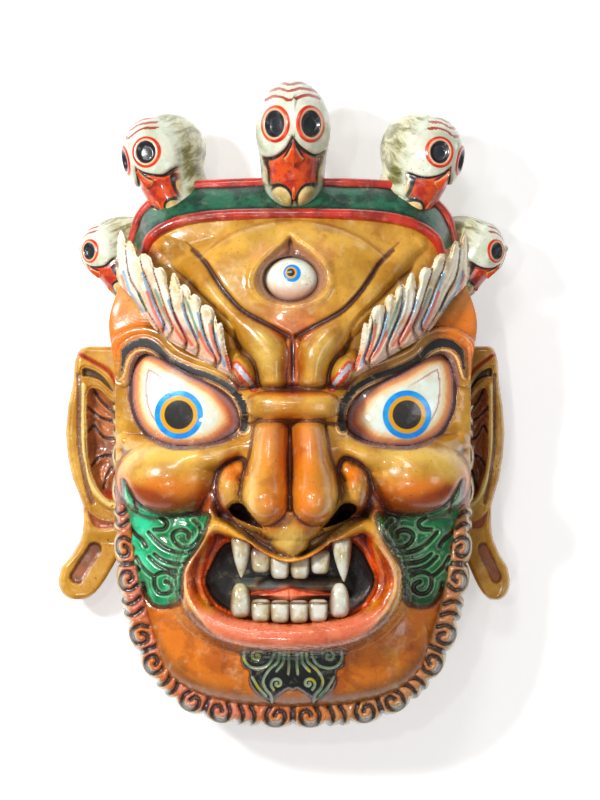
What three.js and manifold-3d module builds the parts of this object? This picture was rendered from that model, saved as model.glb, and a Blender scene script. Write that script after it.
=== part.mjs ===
// A Tibetan cham mask of a wrathful protector: one carved and painted wooden face with a hollow back,
// five small skulls pegged round its crown and two long ears set in its sides.
// It lies face up on its back rim. x runs across the face, y from the chin to the crown and z from the
// back rim to the nose, in millimetres. Places on the face are measured from its middle line.
import * as THREE from "three";
import { mergeVertices } from "three/addons/utils/BufferGeometryUtils.js";
import Module from "manifold-3d";

const wasm = await Module();
wasm.setup();

// Driving sizes.
const CLEARANCE = 0.3; // left between pieces that touch
const HALF_WIDTH = 136; // of the head at its widest level
const WIDEST_Y = -30;
const CROWN_Y = 172;
const CHIN_Y = -246;
const CROWN_SQUARENESS = 3.9; // exponents of the two half ellipses that make the outline
const CHIN_SQUARENESS = 3.3;
const EDGE_Z = 58; // where the side wall turns into the face
const DOME_Z = 118; // height of the face's plain dome
const DOME_FULLNESS = 3;
const RIM_TAPER = 4; // how far the side wall draws in at the rim
const RIM_WIDTH = 14; // of the flat back rim
const HOLLOW_Z = 90; // depth of the hollow behind the face
const SECTORS = 36; // sides of the head's outline

const GOLD_PAINT = 0xc98a3c;
const BONE_PAINT = 0xd9d6bb;

// Small helpers.
const point = (x, y, z) => new THREE.Vector3(x, y, z);
const lerp = THREE.MathUtils.lerp;
const radians = THREE.MathUtils.degToRad;

// A smooth curve through a few points.
function curve(points, closed = false) {
  return new THREE.CatmullRomCurve3(points.map((p) => point(...p)), closed, "centripetal");
}

// A closed surface through rings that all hold the same number of points. A ring of one point is a pole.
// A looped loft joins its last ring to its first; an open one is capped flat at a ring that is no pole.
function loft(rings, looped = false) {
  const around = Math.max(...rings.map((ring) => ring.length));
  const position = [];
  const triangle = (a, b, c) => position.push(...a.toArray(), ...b.toArray(), ...c.toArray());
  const at = (ring, i) => ring[i % ring.length];
  const bridge = (from, to) => {
    for (let i = 0; i < around; i++) {
      if (to.length > 1) triangle(at(from, i), at(to, i + 1), at(to, i));
      if (from.length > 1) triangle(at(from, i), at(from, i + 1), at(to, i + 1));
    }
  };
  const middle = (ring) => [ring.reduce((sum, p) => sum.add(p), point(0, 0, 0)).divideScalar(ring.length)];
  for (let i = 1; i < rings.length; i++) bridge(rings[i - 1], rings[i]);
  if (looped) bridge(rings.at(-1), rings[0]);
  else {
    if (rings[0].length > 1) bridge(middle(rings[0]), rings[0]);
    if (rings.at(-1).length > 1) bridge(rings.at(-1), middle(rings.at(-1)));
  }
  return new THREE.BufferGeometry().setAttribute("position", new THREE.Float32BufferAttribute(position, 3));
}

// A geometry as a solid, turned right side out if a mirror or a loft has turned it in.
function solid(geometry) {
  const bare = new THREE.BufferGeometry().setAttribute("position", geometry.getAttribute("position"));
  bare.setIndex(geometry.index);
  const merged = mergeVertices(bare, 1e-4);
  const triVerts = new Uint32Array(merged.index.array);
  const corner = (i) => new THREE.Vector3().fromBufferAttribute(merged.attributes.position, triVerts[i]);
  let volume = 0;
  for (let i = 0; i < triVerts.length; i += 3) volume += corner(i).dot(corner(i + 1).cross(corner(i + 2)));
  if (volume < 0) triVerts.reverse();
  return new wasm.Manifold(
    new wasm.Mesh({ numProp: 3, vertProperties: merged.attributes.position.array, triVerts }),
  );
}

const union = (solids) => solids.reduce((whole, next) => whole.add(next));
const mirrored = (geometry, side) => geometry.clone().scale(side, 1, 1);
const bothSides = (geometry) => [1, -1].map((side) => solid(mirrored(geometry, side)));

// A named mesh from a solid.
function piece(name, shape, colour) {
  const { vertProperties, triVerts } = shape.getMesh();
  const geometry = new THREE.BufferGeometry();
  geometry.setAttribute("position", new THREE.BufferAttribute(vertProperties, 3));
  geometry.setIndex(new THREE.BufferAttribute(triVerts, 1));
  geometry.computeVertexNormals();
  const material = new THREE.MeshStandardMaterial({ color: colour, roughness: 0.35, metalness: 0 });
  const mesh = new THREE.Mesh(geometry, material);
  mesh.name = name;
  return mesh;
}

// The head's outline. share runs from 0 at the middle to 1 at the edge, and grow widens it.
function headPoint(angle, share, z, grow = 0) {
  const [cos, sin] = [Math.cos(angle), Math.sin(angle)];
  const upper = sin >= 0;
  const power = upper ? CROWN_SQUARENESS : CHIN_SQUARENESS;
  const halfWidth = HALF_WIDTH + grow;
  const reach = (upper ? CROWN_Y - WIDEST_Y : WIDEST_Y - CHIN_Y) + grow;
  const radius = (Math.abs(cos / halfWidth) ** power + Math.abs(sin / reach) ** power) ** (-1 / power);
  return point(share * radius * cos, WIDEST_Y + share * radius * sin, z);
}
function headRing(share, z, grow = 0) {
  return Array.from({ length: SECTORS }, (_, i) => headPoint((i / SECTORS) * 2 * Math.PI, share, z, grow));
}

// How far out from the middle a place is, as a share of the outline, and the plain dome's height there.
function shareAt(x, y) {
  const upper = y >= WIDEST_Y;
  const power = upper ? CROWN_SQUARENESS : CHIN_SQUARENESS;
  const reach = upper ? CROWN_Y - WIDEST_Y : WIDEST_Y - CHIN_Y;
  return (Math.abs(x / HALF_WIDTH) ** power + Math.abs((y - WIDEST_Y) / reach) ** power) ** (1 / power);
}
const domeAtShare = (share) =>
  EDGE_Z + (DOME_Z - EDGE_Z) * Math.sqrt(Math.max(0, 1 - share ** DOME_FULLNESS));
const domeZ = (x, y) => domeAtShare(shareAt(x, y));

// The plain head without its hollow, grown by a clearance where a neighbour is cut to it.
function plainHead(grow) {
  const shares = [0.4, 0.68, 0.86, 0.96, 1];
  return [
    [point(0, WIDEST_Y, DOME_Z + grow)],
    ...shares.map((share) => headRing(share, domeAtShare(share) + grow, grow)),
    headRing(1, -grow, grow - RIM_TAPER),
  ];
}

// The hollow that the wearer's face goes in. It meets the back rim's flat.
function hollow() {
  const inset = -RIM_TAPER - RIM_WIDTH;
  const depths = [[1, -1], [1, 0.3 * HOLLOW_Z], [0.88, 0.72 * HOLLOW_Z], [0.5, 0.97 * HOLLOW_Z]];
  return solid(loft([...depths.map(([share, z]) => headRing(share, z, inset)), [point(0, WIDEST_Y, HOLLOW_Z)]]));
}

// A rounded lump: its middle, its three half sizes, and its turn in the face's plane in degrees.
function lump({ x, y, top, wide, tall, deep, turn = 0, sides = 10 }) {
  return new THREE.SphereGeometry(1, sides, Math.ceil(sides / 2))
    .rotateX(Math.PI / 2)
    .scale(wide, tall, deep)
    .rotateZ(radians(turn))
    .translate(x, y, top - deep);
}

// A rounded ridge that follows a path over the face. width and height are half sizes along the path.
function ridge(path, { steps, sides = 8, width, height, closed = false }) {
  const rings = [];
  const last = closed ? steps : steps - 1;
  for (let i = 0; i < steps; i++) {
    const t = i / last;
    const middle = path.getPoint(t);
    const along = path.getTangent(t).setZ(0).normalize();
    const across = point(-along.y, along.x, 0);
    rings.push(
      Array.from({ length: sides }, (_, k) => {
        const angle = (k / sides) * 2 * Math.PI;
        return middle
          .clone()
          .addScaledVector(across, width(t) * Math.cos(angle))
          .add(point(0, 0, height(t) * (Math.sin(angle) - 1)));
      }),
    );
  }
  return loft(rings, closed);
}

// A plate with a rim of its own, lying on the dome: its outline, its middle and how far it stands up.
function plate({ outline, middle, samples, rise, bulge }) {
  const edge = curve(outline.map(([x, y]) => [x, y, 0]), true).getSpacedPoints(samples).slice(0, samples);
  const centre = point(...middle, 0);
  const ring = (share, lift) =>
    edge.map((p) => {
      const q = centre.clone().lerp(p, share);
      return q.setZ(domeZ(q.x, q.y) + lift);
    });
  return loft([
    [centre.clone().setZ(domeZ(...middle) - SUNK)],
    ring(1, -SUNK),
    ring(1, rise),
    ring(0.55, rise + bulge),
    [centre.clone().setZ(domeZ(...middle) + rise + bulge)],
  ]);
}
const SUNK = 6; // how deep applied forms run into the face

// Eyes: a ball in a lid. The lid's line runs from the temple over the eye and back below it.
const EYE = { x: 86, y: -1, top: 122, wide: 41, tall: 36, deep: 24, turn: 20, sides: 12 };
const LID_LINE = [
  [125, 20, 96], [112, 45, 106], [94, 37, 115], [68, 24, 122], [46, 8, 126], [38, -16, 123],
  [62, -32, 117], [94, -34, 110], [117, -23, 98],
];
const LID_WIDTH = 5.5;
const LID_HEIGHT = 9;
function eyes() {
  const lid = ridge(curve(LID_LINE, true), {
    steps: 16, sides: 5, closed: true, width: () => LID_WIDTH, height: () => LID_HEIGHT,
  });
  return [...bothSides(lump(EYE)), ...bothSides(lid)];
}

// The third eye on the forehead, upright in its own round lid with a pointed top.
const THIRD_EYE = { x: 0, y: 95, top: 127, wide: 20.5, tall: 17, deep: 14, sides: 10 };
const THIRD_LID_LINE = [[-29, 92, 114], [-20, 110, 116], [0, 122, 116], [20, 110, 116], [29, 92, 114], [0, 72, 119]];
function thirdEye() {
  const lid = ridge(curve(THIRD_LID_LINE, true), {
    steps: 12, sides: 5, closed: true, width: () => 4.5, height: () => 6,
  });
  return [solid(lump(THIRD_EYE)), solid(lid)];
}

// The furrow between the eyes: two thick folds that rise from the bar and sweep out over the forehead.
const FOLD_LINE = [[15.5, 6, 144], [18, 38, 147], [36, 62, 140], [57, 86, 128], [80, 108, 114], [98, 113, 98]];
const FOLD_WIDTH = [10, 13.5, 12, 11, 11, 5];
const BAR = { halfLength: 34, halfHeight: 9.7, y: -0.7, top: 158, deep: 22 };
function alongWidths(widths) {
  return (t) => {
    const place = t * (widths.length - 1);
    const i = Math.min(widths.length - 2, Math.floor(place));
    return lerp(widths[i], widths[i + 1], place - i);
  };
}
function furrow() {
  const fold = ridge(curve(FOLD_LINE), { steps: 9, sides: 7, width: alongWidths(FOLD_WIDTH), height: () => 22 });
  const barPath = curve([[-BAR.halfLength, BAR.y, BAR.top - 5], [0, BAR.y, BAR.top], [BAR.halfLength, BAR.y, BAR.top - 5]]);
  const bar = ridge(barPath, { steps: 7, width: alongWidths([0.7, 1, 1, 1, 1, 1, 0.7].map((share) => share * BAR.halfHeight)), height: () => BAR.deep });
  const knot = lump({ x: 37, y: 22, top: 146, wide: 8, tall: 7, deep: 24, sides: 10 });
  return [...bothSides(fold), solid(bar), ...bothSides(knot)];
}

// Flame eyebrows: locks of hair that spring from a root line over the eye and curl up to a ragged edge.
const BROW_ROOT = [[38, 20, 136], [62, 34, 134], [90, 51, 124], [116, 78, 108], [133, 104, 90]];
const BROW_CREST = [[42, 46, 146], [62, 68, 144], [88, 93, 134], [112, 113, 119], [131, 133, 104]];
const BROW_LOCKS = 6;
const BROW_DEEP = { root: 28, tip: 10 };
const LOCK_NOTCH = 0.24; // depth of the notch between two locks, as a share of the brow's width
const LOCK_SWEEP = 0.13; // how far each lock leans towards the temple
function brow() {
  const [root, crest] = [curve(BROW_ROOT), curve(BROW_CREST)];
  const perLock = 3;
  const steps = BROW_LOCKS * perLock + 1;
  const rings = [];
  for (let i = 0; i < steps; i++) {
    const t = i / (steps - 1);
    const phase = (t * BROW_LOCKS) % 1;
    const reach = 1 - LOCK_NOTCH * (1 - Math.sin(Math.PI * phase) ** 0.7);
    const low = root.getPoint(t);
    const high = low.clone().lerp(crest.getPoint(lerp(t, 1, LOCK_SWEEP)), reach);
    const swell = 3 + 3 * Math.sin(Math.PI * phase);
    const down = point(0, 0, lerp(BROW_DEEP.root, BROW_DEEP.tip, t));
    rings.push([
      low.clone().sub(down),
      low.clone(),
      low.clone().lerp(high, 0.45).add(point(0, 0, swell)),
      high.clone(),
      high.clone().sub(down),
    ]);
  }
  return loft(rings);
}

// Cheeks: full balls under the eyes, with a fold that joins them to the nose.
const CHEEK = { x: 91, y: -54, top: 139, wide: 43, tall: 33, deep: 42, turn: -6, sides: 12 };
const UNDER_EYE = { x: 78, y: -42, top: 128, wide: 46, tall: 16, deep: 26, turn: -5, sides: 8 };

// Nose: two long lobes side by side with bulbs at their tips, wings with nostrils, and a pointed septum.
const NOSE_TIP_Z = 186;
const LOBE = { x: 14.5, y: -38, top: NOSE_TIP_Z - 24, wide: 12.5, tall: 34, deep: 34, sides: 8 };
const BULB = { x: 20, y: -70, top: NOSE_TIP_Z, wide: 18, tall: 23, deep: 40, sides: 10 };
const NOSE_BACK = { x: 0, y: -50, top: 152, wide: 44, tall: 52, deep: 46, sides: 8 };
const WING = { x: 45, y: -64, top: 152, wide: 11.5, tall: 20, deep: 36, turn: 10, sides: 8 };
const NOSTRIL = { x: 38, y: -87, top: 176, wide: 6.5, tall: 16, deep: 40, turn: 50, sides: 8 };
const SEPTUM_LINE = [[0, -84, 168], [0, -100, 163], [0, -116, 152]];
function nose() {
  const septum = ridge(curve(SEPTUM_LINE), { steps: 5, width: alongWidths([24, 19, 9]), height: () => 30 });
  return union([
    solid(lump(NOSE_BACK)),
    ...[LOBE, BULB, WING].flatMap((form) => bothSides(lump(form))),
    solid(septum),
  ]).subtract(union(bothSides(lump(NOSTRIL))));
}

// Mouth: a muzzle under one broad lip, cut out to a dark cavity with the teeth and the tongue in it.
const MUZZLE = { x: 0, y: -128, top: 141, wide: 84, tall: 66, deep: 58, sides: 12 };
const LIP_LINE = [
  [0, -119, 150], [-30, -110, 147], [-57, -102, 142], [-68, -115, 140], [-74, -136, 137], [-66, -156, 139],
  [-40, -171, 145], [0, -177, 150], [40, -171, 145], [66, -156, 139], [74, -136, 137], [68, -115, 140],
  [57, -102, 142], [30, -110, 147],
];
const LIP_WIDTH = { upper: 4, lower: 10.5 };
const LIP_HEIGHT = 17; // half the lip's depth, the lower half of it sunk in the muzzle
const CAVITY_Z = 103;
const CAVITY_INSET = 0.92; // the cavity's edge, as a share of the lip line about the mouth's middle
const MOUTH_Y = -140;
function mouthEdge() {
  return LIP_LINE.map(([x, y]) => [x * CAVITY_INSET, MOUTH_Y + (y - MOUTH_Y) * CAVITY_INSET]);
}
function cavity() {
  const shape = new THREE.Shape();
  const edge = curve(mouthEdge().map(([x, y]) => [x, y, 0]), true).getSpacedPoints(32).slice(0, 32);
  shape.setFromPoints(edge.map((p) => new THREE.Vector2(p.x, p.y)));
  const cut = new THREE.ExtrudeGeometry(shape, { depth: NOSE_TIP_Z - CAVITY_Z, bevelEnabled: false });
  return solid(cut.translate(0, 0, CAVITY_Z));
}
function lip() {
  const lowest = Math.min(...LIP_LINE.map(([, y]) => y));
  const highest = Math.max(...LIP_LINE.map(([, y]) => y));
  const path = curve(LIP_LINE, true);
  const width = (t) => {
    const down = (highest - path.getPoint(t).y) / (highest - lowest);
    return lerp(LIP_WIDTH.upper, LIP_WIDTH.lower, down);
  };
  return solid(ridge(path, { steps: 20, sides: 6, closed: true, width, height: () => LIP_HEIGHT }));
}

// A tooth from its root to its edge: a flat-ended incisor, or a fang that tapers to a point.
function tooth({ x, root, edge, wide, z, pointed = false, lean = 0 }) {
  const sides = 5;
  const deep = 8;
  const level = (share, size) =>
    Array.from({ length: sides }, (_, k) => {
      const angle = ((k + 0.5) / sides) * 2 * Math.PI;
      return point(
        x + lean * share + (wide / 2) * size * Math.cos(angle),
        lerp(root, edge, share),
        z + deep * size * Math.sin(angle),
      );
    });
  const end = pointed ? [point(x + lean, edge, z)] : level(1, 0.72);
  return solid(loft([level(0, 0.8), level(0.45, 1.04), end]));
}
const INCISOR_PITCH = 14.3;
const INCISOR_WIDTH = 13.4;
const FANG_X = 38;
const UPPER_TEETH = { root: -108, edge: -135, z: 136 };
const LOWER_TEETH = { root: -172, edge: -151, z: 134 };
function teeth() {
  const made = [];
  for (const { root, edge, z } of [UPPER_TEETH, LOWER_TEETH])
    for (let i = -1.5; i <= 1.5; i++)
      made.push(tooth({ x: i * INCISOR_PITCH, root, edge, wide: INCISOR_WIDTH, z }));
  for (const side of [-1, 1]) {
    made.push(tooth({ x: side * FANG_X, root: -102, edge: -134, wide: 15, z: 135, pointed: true, lean: 0 }));
    made.push(tooth({ x: side * FANG_X, root: -168, edge: -141, wide: 16, z: 132 }));
  }
  const tongue = lump({ x: 0, y: -144, top: 128, wide: 30, tall: 12, deep: 34, sides: 10 });
  return [...made, solid(tongue)];
}

// Painted scroll leaves on the cheeks and the tuft on the chin, each a raised plate with round bosses.
const SCROLL_OUTLINE = [
  [130, -60], [127, -88], [131, -108], [124, -122], [124, -138], [112, -148], [101, -157], [88, -155],
  [82, -142], [79, -124], [70, -112], [64, -96], [80, -88], [104, -84],
];
const TUFT_OUTLINE = [
  [0, -186], [24, -185], [39, -187], [39, -198], [32, -203], [31, -212], [20, -221], [15, -229], [8, -217], [0, -207],
  [-8, -217], [-15, -229], [-20, -221], [-31, -212], [-32, -203], [-39, -198], [-39, -187], [-24, -185],
];
function boss(x, y, radius, rise) {
  return lump({ x, y, top: domeZ(x, y) + rise, wide: radius, tall: radius, deep: 8, sides: 8 });
}
function scrolls() {
  const leaf = plate({ outline: SCROLL_OUTLINE, middle: [99, -114], samples: 20, rise: 4, bulge: 1 });
  const tuft = plate({ outline: TUFT_OUTLINE, middle: [0, -197], samples: 28, rise: 3, bulge: 1 });
  const bosses = [[84, -101, 12, 8], [98, -137, 10, 8]].map((b) => boss(...b));
  return [...bothSides(leaf), ...bosses.flatMap(bothSides), solid(tuft), ...bothSides(boss(27, -192, 8, 6.5))];
}

// The curled beard that edges the jaw: a band on the turn of the face, swelling at each curl.
const BEARD_FROM = radians(-192); // round the outline, from behind one cheek under the chin to the other
const BEARD_TO = radians(12);
const BEARD_CURLS = 16;
const BEARD_WIDTH = 22;
const BEARD_RISE = 5;
function beard(grow) {
  const perCurl = 3;
  const steps = BEARD_CURLS * perCurl + 1;
  const rings = [];
  for (let i = 0; i < steps; i++) {
    const t = i / (steps - 1);
    const angle = lerp(BEARD_FROM, BEARD_TO, t);
    const swell = Math.sin(Math.PI * ((t * BEARD_CURLS) % 1)) ** 0.6;
    const out = BEARD_RISE * (0.35 + 0.65 * swell) + grow;
    const inner = headPoint(angle, 1, 0, -0.62 * BEARD_WIDTH - grow);
    const crest = headPoint(angle, 1, 0, -0.2 * BEARD_WIDTH + 0.4 * out);
    const edge = headPoint(angle, 1, EDGE_Z + 0.25 * BEARD_WIDTH, 0.8 * out);
    const under = headPoint(angle, 1, EDGE_Z - 0.35 * BEARD_WIDTH - grow, 0.2 * out);
    const sunk = headPoint(angle, 1, EDGE_Z, -0.4 * BEARD_WIDTH);
    inner.z = domeZ(inner.x, inner.y) + 0.3 * out;
    crest.z = inner.z - 0.15 * BEARD_WIDTH + 0.5 * out;
    rings.push([inner, crest, edge, under, sunk]);
  }
  return loft(rings);
}

// The crown: a painted band across the brow of the head between two rolled edges.
const crownPoint = ([share, below, rise]) => [HALF_WIDTH * share, CROWN_Y - below, EDGE_Z + rise];
const CROWN_LINE = {
  lower: [[0.838, 58, 26], [0.794, 44, 32], [0.647, 33, 38], [0.404, 28, 41], [0, 27, 42]].map(crownPoint),
  upper: [[0.912, 46, 4], [0.853, 24, 8], [0.676, 7, 15], [0.404, 3, 18], [0, 2, 19]].map(crownPoint),
};
const ROLL_RADIUS = 5.5;
const ROLL_DEEP = 9; // half the roll's depth, most of it sunk in the head
const BAND_SUNK = 3; // how far the painted band lies below its rolled edges
const BAND_DEEP = 24;
function crown(grow) {
  const whole = (half, spread = 1) => {
    const raised = half.map(([x, y, z]) => point(x * spread, y * spread, z + grow));
    const past = raised[0].clone().sub(raised[1]).setLength(2 * grow);
    raised[0].add(past);
    const points = raised.map((p) => p.toArray());
    return curve([...points, ...points.slice(0, -1).reverse().map(([x, y, z]) => [-x, y, z])]);
  };
  const roll = (half) =>
    solid(ridge(whole(half), { steps: 15, sides: 6, width: () => ROLL_RADIUS + grow, height: () => ROLL_DEEP + grow }));
  const [low, high] = [whole(CROWN_LINE.lower), whole(CROWN_LINE.upper, 1 + (1.5 * grow) / HALF_WIDTH)];
  const rings = [];
  const steps = 13;
  for (let i = 0; i < steps; i++) {
    const [a, b] = [low.getPoint(i / (steps - 1)), high.getPoint(i / (steps - 1))];
    for (const p of [a, b]) p.z -= ROLL_RADIUS + BAND_SUNK / 2;
    const down = point(0, 0, BAND_DEEP + 2 * grow);
    const inward = point(0.92, 0.92, 1);
    rings.push([a, b, b.clone().multiply(inward).sub(down), a.clone().multiply(inward).sub(down)]);
  }
  return [roll(CROWN_LINE.lower), roll(CROWN_LINE.upper), solid(loft(rings))];
}

// A skull in its own frame: x across, y up and z to its face, its origin in the middle of the cranium.
const SKULL = { half: 29, up: 38, front: 37, back: 56, jawHalf: 24, jawDown: 60, jawFront: 31 };
const SOCKET = { x: 12.8, y: 11, wide: 9, tall: 12, deep: 9 };
function skull() {
  const cranium = new THREE.SphereGeometry(1, 12, 8).rotateX(Math.PI / 2);
  const place = cranium.getAttribute("position");
  for (let i = 0; i < place.count; i++) {
    const z = place.getZ(i);
    place.setXYZ(i, place.getX(i) * SKULL.half, place.getY(i) * SKULL.up, z * (z > 0 ? SKULL.front : SKULL.back));
  }
  const jawTall = (SKULL.jawDown + 12) / 2;
  const jaw = new THREE.SphereGeometry(1, 8, 6)
    .scale(SKULL.jawHalf, jawTall, SKULL.jawFront)
    .translate(0, jawTall - SKULL.jawDown, 0);
  const nose = new THREE.ConeGeometry(8, 18, 4).rotateX(-0.35).translate(0, -11, SKULL.front - 6);
  const socket = new THREE.SphereGeometry(1, 7, 5)
    .scale(SOCKET.wide, SOCKET.tall, SOCKET.deep)
    .translate(SOCKET.x, SOCKET.y, SKULL.front - 2);
  const teeth = new THREE.SphereGeometry(1, 5, 4).scale(7.5, 10, 6).translate(9.5, -50, SKULL.jawFront - 9);
  return union([solid(cranium), solid(jaw), solid(nose), ...bothSides(teeth)]).subtract(union(bothSides(socket)));
}

// Where the skulls stand: the middle of each cranium, its turn round the crown and its size.
const SKULL_LEAN = 38; // degrees that each leans out of the crown
const CROWN_SLOPE = 21; // degrees that the crown's ring dips towards the back
const SKULLS = [
  { name: "skull_centre", x: 0, y: CROWN_Y + 38.8, z: EDGE_Z + 30, turn: 0, size: 1 },
  { name: "skull_upper", x: 0.75 * HALF_WIDTH, y: CROWN_Y + 19, z: EDGE_Z + 8, turn: 45, size: 0.85 },
  { name: "skull_side", x: HALF_WIDTH + 4, y: CROWN_Y - 53, z: EDGE_Z - 10, turn: 75, size: 0.65 },
];
function skullPlace({ x, y, z, turn, size }, side) {
  const turned = (axis, degrees) =>
    new THREE.Matrix4().makeRotationAxis(axis, radians(degrees));
  return new THREE.Matrix4()
    .makeTranslation(side * x, y, z)
    .multiply(turned(point(1, 0, 0), -CROWN_SLOPE))
    .multiply(turned(point(0, 1, 0), side * turn))
    .multiply(turned(point(1, 0, 0), SKULL_LEAN))
    .multiply(new THREE.Matrix4().makeScale(size, size, size));
}

// An ear seen from the front: how far its edge stands out of the head, level by level from top to lobe,
// and how deep its bowl is there. A longer reach stretches it sideways.
const EAR_ROOT_X = HALF_WIDTH - 8; // inside the head's side, which cuts it to its seat
const EAR_REACH = { left: 55, right: 41 };
const EAR_FRONT_Z = EDGE_Z - 12;
const EAR_THICK = 20;
const EAR_LEVELS = [
  [45, 0.3, 0], [43, 0.62, 1], [34, 0.72, 5], [14, 0.81, 9], [-8, 0.85, 10], [-30, 0.86, 10], [-50, 0.8, 8],
  [-72, 0.68, 3], [-90, 0.63, 1], [-108, 0.7, 2], [-122, 0.88, 4], [-134, 1, 4], [-145, 0.93, 2], [-152, 0.72, 0],
];
const EAR_GAP_BELOW = -100; // under this level the lobe swings clear of the jaw
function ear(reach) {
  const rings = EAR_LEVELS.map(([y, share, bowl]) => {
    const inner = y < EAR_GAP_BELOW ? lerp(0, 0.42, (EAR_GAP_BELOW - y) / 52) : 0;
    const x = (across) => EAR_ROOT_X + reach * lerp(inner, share, across);
    const front = EAR_FRONT_Z + (y < EAR_GAP_BELOW ? -4 : 0);
    return [
      point(x(0), y, front - EAR_THICK), point(x(0), y, front - bowl), point(x(0.35), y, front - bowl),
      point(x(0.66), y, front - bowl), point(x(0.8), y, front + 2), point(x(0.9), y, front - 2),
      point(x(1), y, front - 3), point(x(0.97), y, front - 0.7 * EAR_THICK), point(x(0.6), y, front - EAR_THICK),
    ];
  });
  return solid(loft(rings));
}

// The face: everything carved in the one block.
function face() {
  const outside = union([
    solid(loft(plainHead(0))),
    solid(lump(MUZZLE)),
    ...bothSides(lump(CHEEK)),
    ...bothSides(lump(UNDER_EYE)),
    ...eyes(),
    ...thirdEye(),
    ...furrow(),
    ...bothSides(brow()),
    nose(),
    ...crown(0),
    solid(beard(0)),
    ...scrolls(),
  ]);
  return union([outside.subtract(cavity()), lip(), ...teeth()]).subtract(hollow());
}

// What the skulls and the ears are cut to, so that they seat on the face with the clearance.
const seat = union([
  solid(loft(plainHead(CLEARANCE))),
  ...crown(CLEARANCE),
  solid(beard(CLEARANCE)),
]);

const mask = new THREE.Group();
mask.add(piece("face", face(), GOLD_PAINT));
for (const entry of SKULLS)
  for (const [suffix, side] of entry.x ? [["_left", -1], ["_right", 1]] : [["", 1]]) {
    const placed = skull().transform(skullPlace(entry, side).elements);
    mask.add(piece(entry.name + suffix, placed.subtract(seat), BONE_PAINT));
  }
for (const [name, side] of [["left", -1], ["right", 1]]) {
  const turned = new THREE.Matrix4().makeScale(side, 1, 1).elements;
  const cut = ear(EAR_REACH[name]).transform(turned).subtract(seat);
  mask.add(piece(`ear_${name}`, cut, GOLD_PAINT));
}
mask.position.x = (EAR_REACH.left - EAR_REACH.right) / 2;

export default mask;
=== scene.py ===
"""A carved and painted wooden dance mask of a wrathful protector, lying face up on its back rim.

Sizes are in millimetres on the mask itself: x across the face from its middle line, y from the chin to
the crown, z from the back rim to the nose. Every mesh is turned into metres as it is made.
"""

import math

import bmesh
import bpy
import numpy as np
from bpy.props import FloatProperty, FloatVectorProperty, IntProperty, PointerProperty
from mathutils import Matrix, Vector


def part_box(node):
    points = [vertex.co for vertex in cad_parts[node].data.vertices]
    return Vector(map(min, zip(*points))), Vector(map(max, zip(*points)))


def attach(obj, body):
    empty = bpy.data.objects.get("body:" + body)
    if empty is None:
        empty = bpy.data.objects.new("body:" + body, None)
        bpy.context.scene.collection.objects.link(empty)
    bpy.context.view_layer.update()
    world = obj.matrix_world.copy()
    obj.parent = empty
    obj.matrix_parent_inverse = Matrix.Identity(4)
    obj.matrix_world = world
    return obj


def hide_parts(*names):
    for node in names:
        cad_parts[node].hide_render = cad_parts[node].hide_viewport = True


bl_info = {
    "name": "Wrathful Dance Mask",
    "version": (1, 0, 0),
    "blender": (4, 5, 0),
    "location": "View3D > Sidebar > Mask",
    "description": "Builds a carved and painted wooden dance mask on its fixed frame",
    "category": "Object",
}

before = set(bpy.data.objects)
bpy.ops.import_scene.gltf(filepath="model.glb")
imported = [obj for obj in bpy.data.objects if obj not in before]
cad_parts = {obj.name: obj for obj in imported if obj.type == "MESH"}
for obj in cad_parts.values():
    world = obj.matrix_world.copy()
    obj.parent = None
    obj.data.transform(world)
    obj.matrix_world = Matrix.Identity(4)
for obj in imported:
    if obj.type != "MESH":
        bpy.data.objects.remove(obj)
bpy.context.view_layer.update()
MM = 0.001
MIDDLE_X = 7.0
LOW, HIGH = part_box("face")

# The head's plain form, as the solid has it.
HALF_WIDTH = 136.0
WIDEST_Y = -30.0
CROWN_Y = 172.0
CHIN_Y = -246.0
CROWN_SQUARENESS = 3.9
CHIN_SQUARENESS = 3.3
EDGE_Z = 58.0
DOME_Z = 118.0
RIM_TAPER = 4.0
RIM_WIDTH = 14.0
HOLLOW_Z = 90.0
FAR = 60.0


def smooth_path(points, count, closed=False):
    """A smooth curve through rows of any width, as count rows."""
    rows = np.asarray(points, float)
    number = len(rows)
    if closed:
        spread = np.vstack([rows[-1:], rows, rows[:2]])
        place = np.linspace(0, number, count, endpoint=False)
        last = number - 1
    else:
        spread = np.vstack([2 * rows[:1] - rows[1:2], rows, 2 * rows[-1:] - rows[-2:-1]])
        place = np.linspace(0, number - 1, count)
        last = number - 2
    i = np.minimum(place.astype(int), last)
    f = (place - i)[:, None]
    a, b, c, d = spread[i], spread[i + 1], spread[i + 2], spread[i + 3]
    return 0.5 * (2 * b + (c - a) * f + (2 * a - 5 * b + 4 * c - d) * f**2 + (3 * b - a - 3 * c + d) * f**3)


def nearest(path, x, y, reach=FAR):
    """Each place's distance to a path in plan, the share along it, and its side: 1 on the path's left."""
    distance = np.full(x.shape, reach)
    share = np.zeros(x.shape)
    side = np.ones(x.shape)
    near = (x > path[:, 0].min() - reach) & (x < path[:, 0].max() + reach)
    near &= (y > path[:, 1].min() - reach) & (y < path[:, 1].max() + reach)
    if not near.any():
        return distance, share, side
    px, py = x[near], y[near]
    best = np.full(px.shape, reach * reach)
    best_share = np.zeros(px.shape)
    best_side = np.ones(px.shape)
    steps = len(path) - 1
    for k in range(steps):
        ax, ay = path[k, :2]
        dx, dy = path[k + 1, :2] - path[k, :2]
        along = np.clip(((px - ax) * dx + (py - ay) * dy) / (dx * dx + dy * dy + 1e-12), 0, 1)
        ox, oy = px - ax - along * dx, py - ay - along * dy
        gap = ox * ox + oy * oy
        better = gap < best
        best[better] = gap[better]
        best_share[better] = (k + along[better]) / steps
        best_side[better] = np.where(dx * oy - dy * ox >= 0, 1.0, -1.0)[better]
    distance[near] = np.sqrt(best)
    share[near] = best_share
    side[near] = best_side
    return distance, share, side


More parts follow.
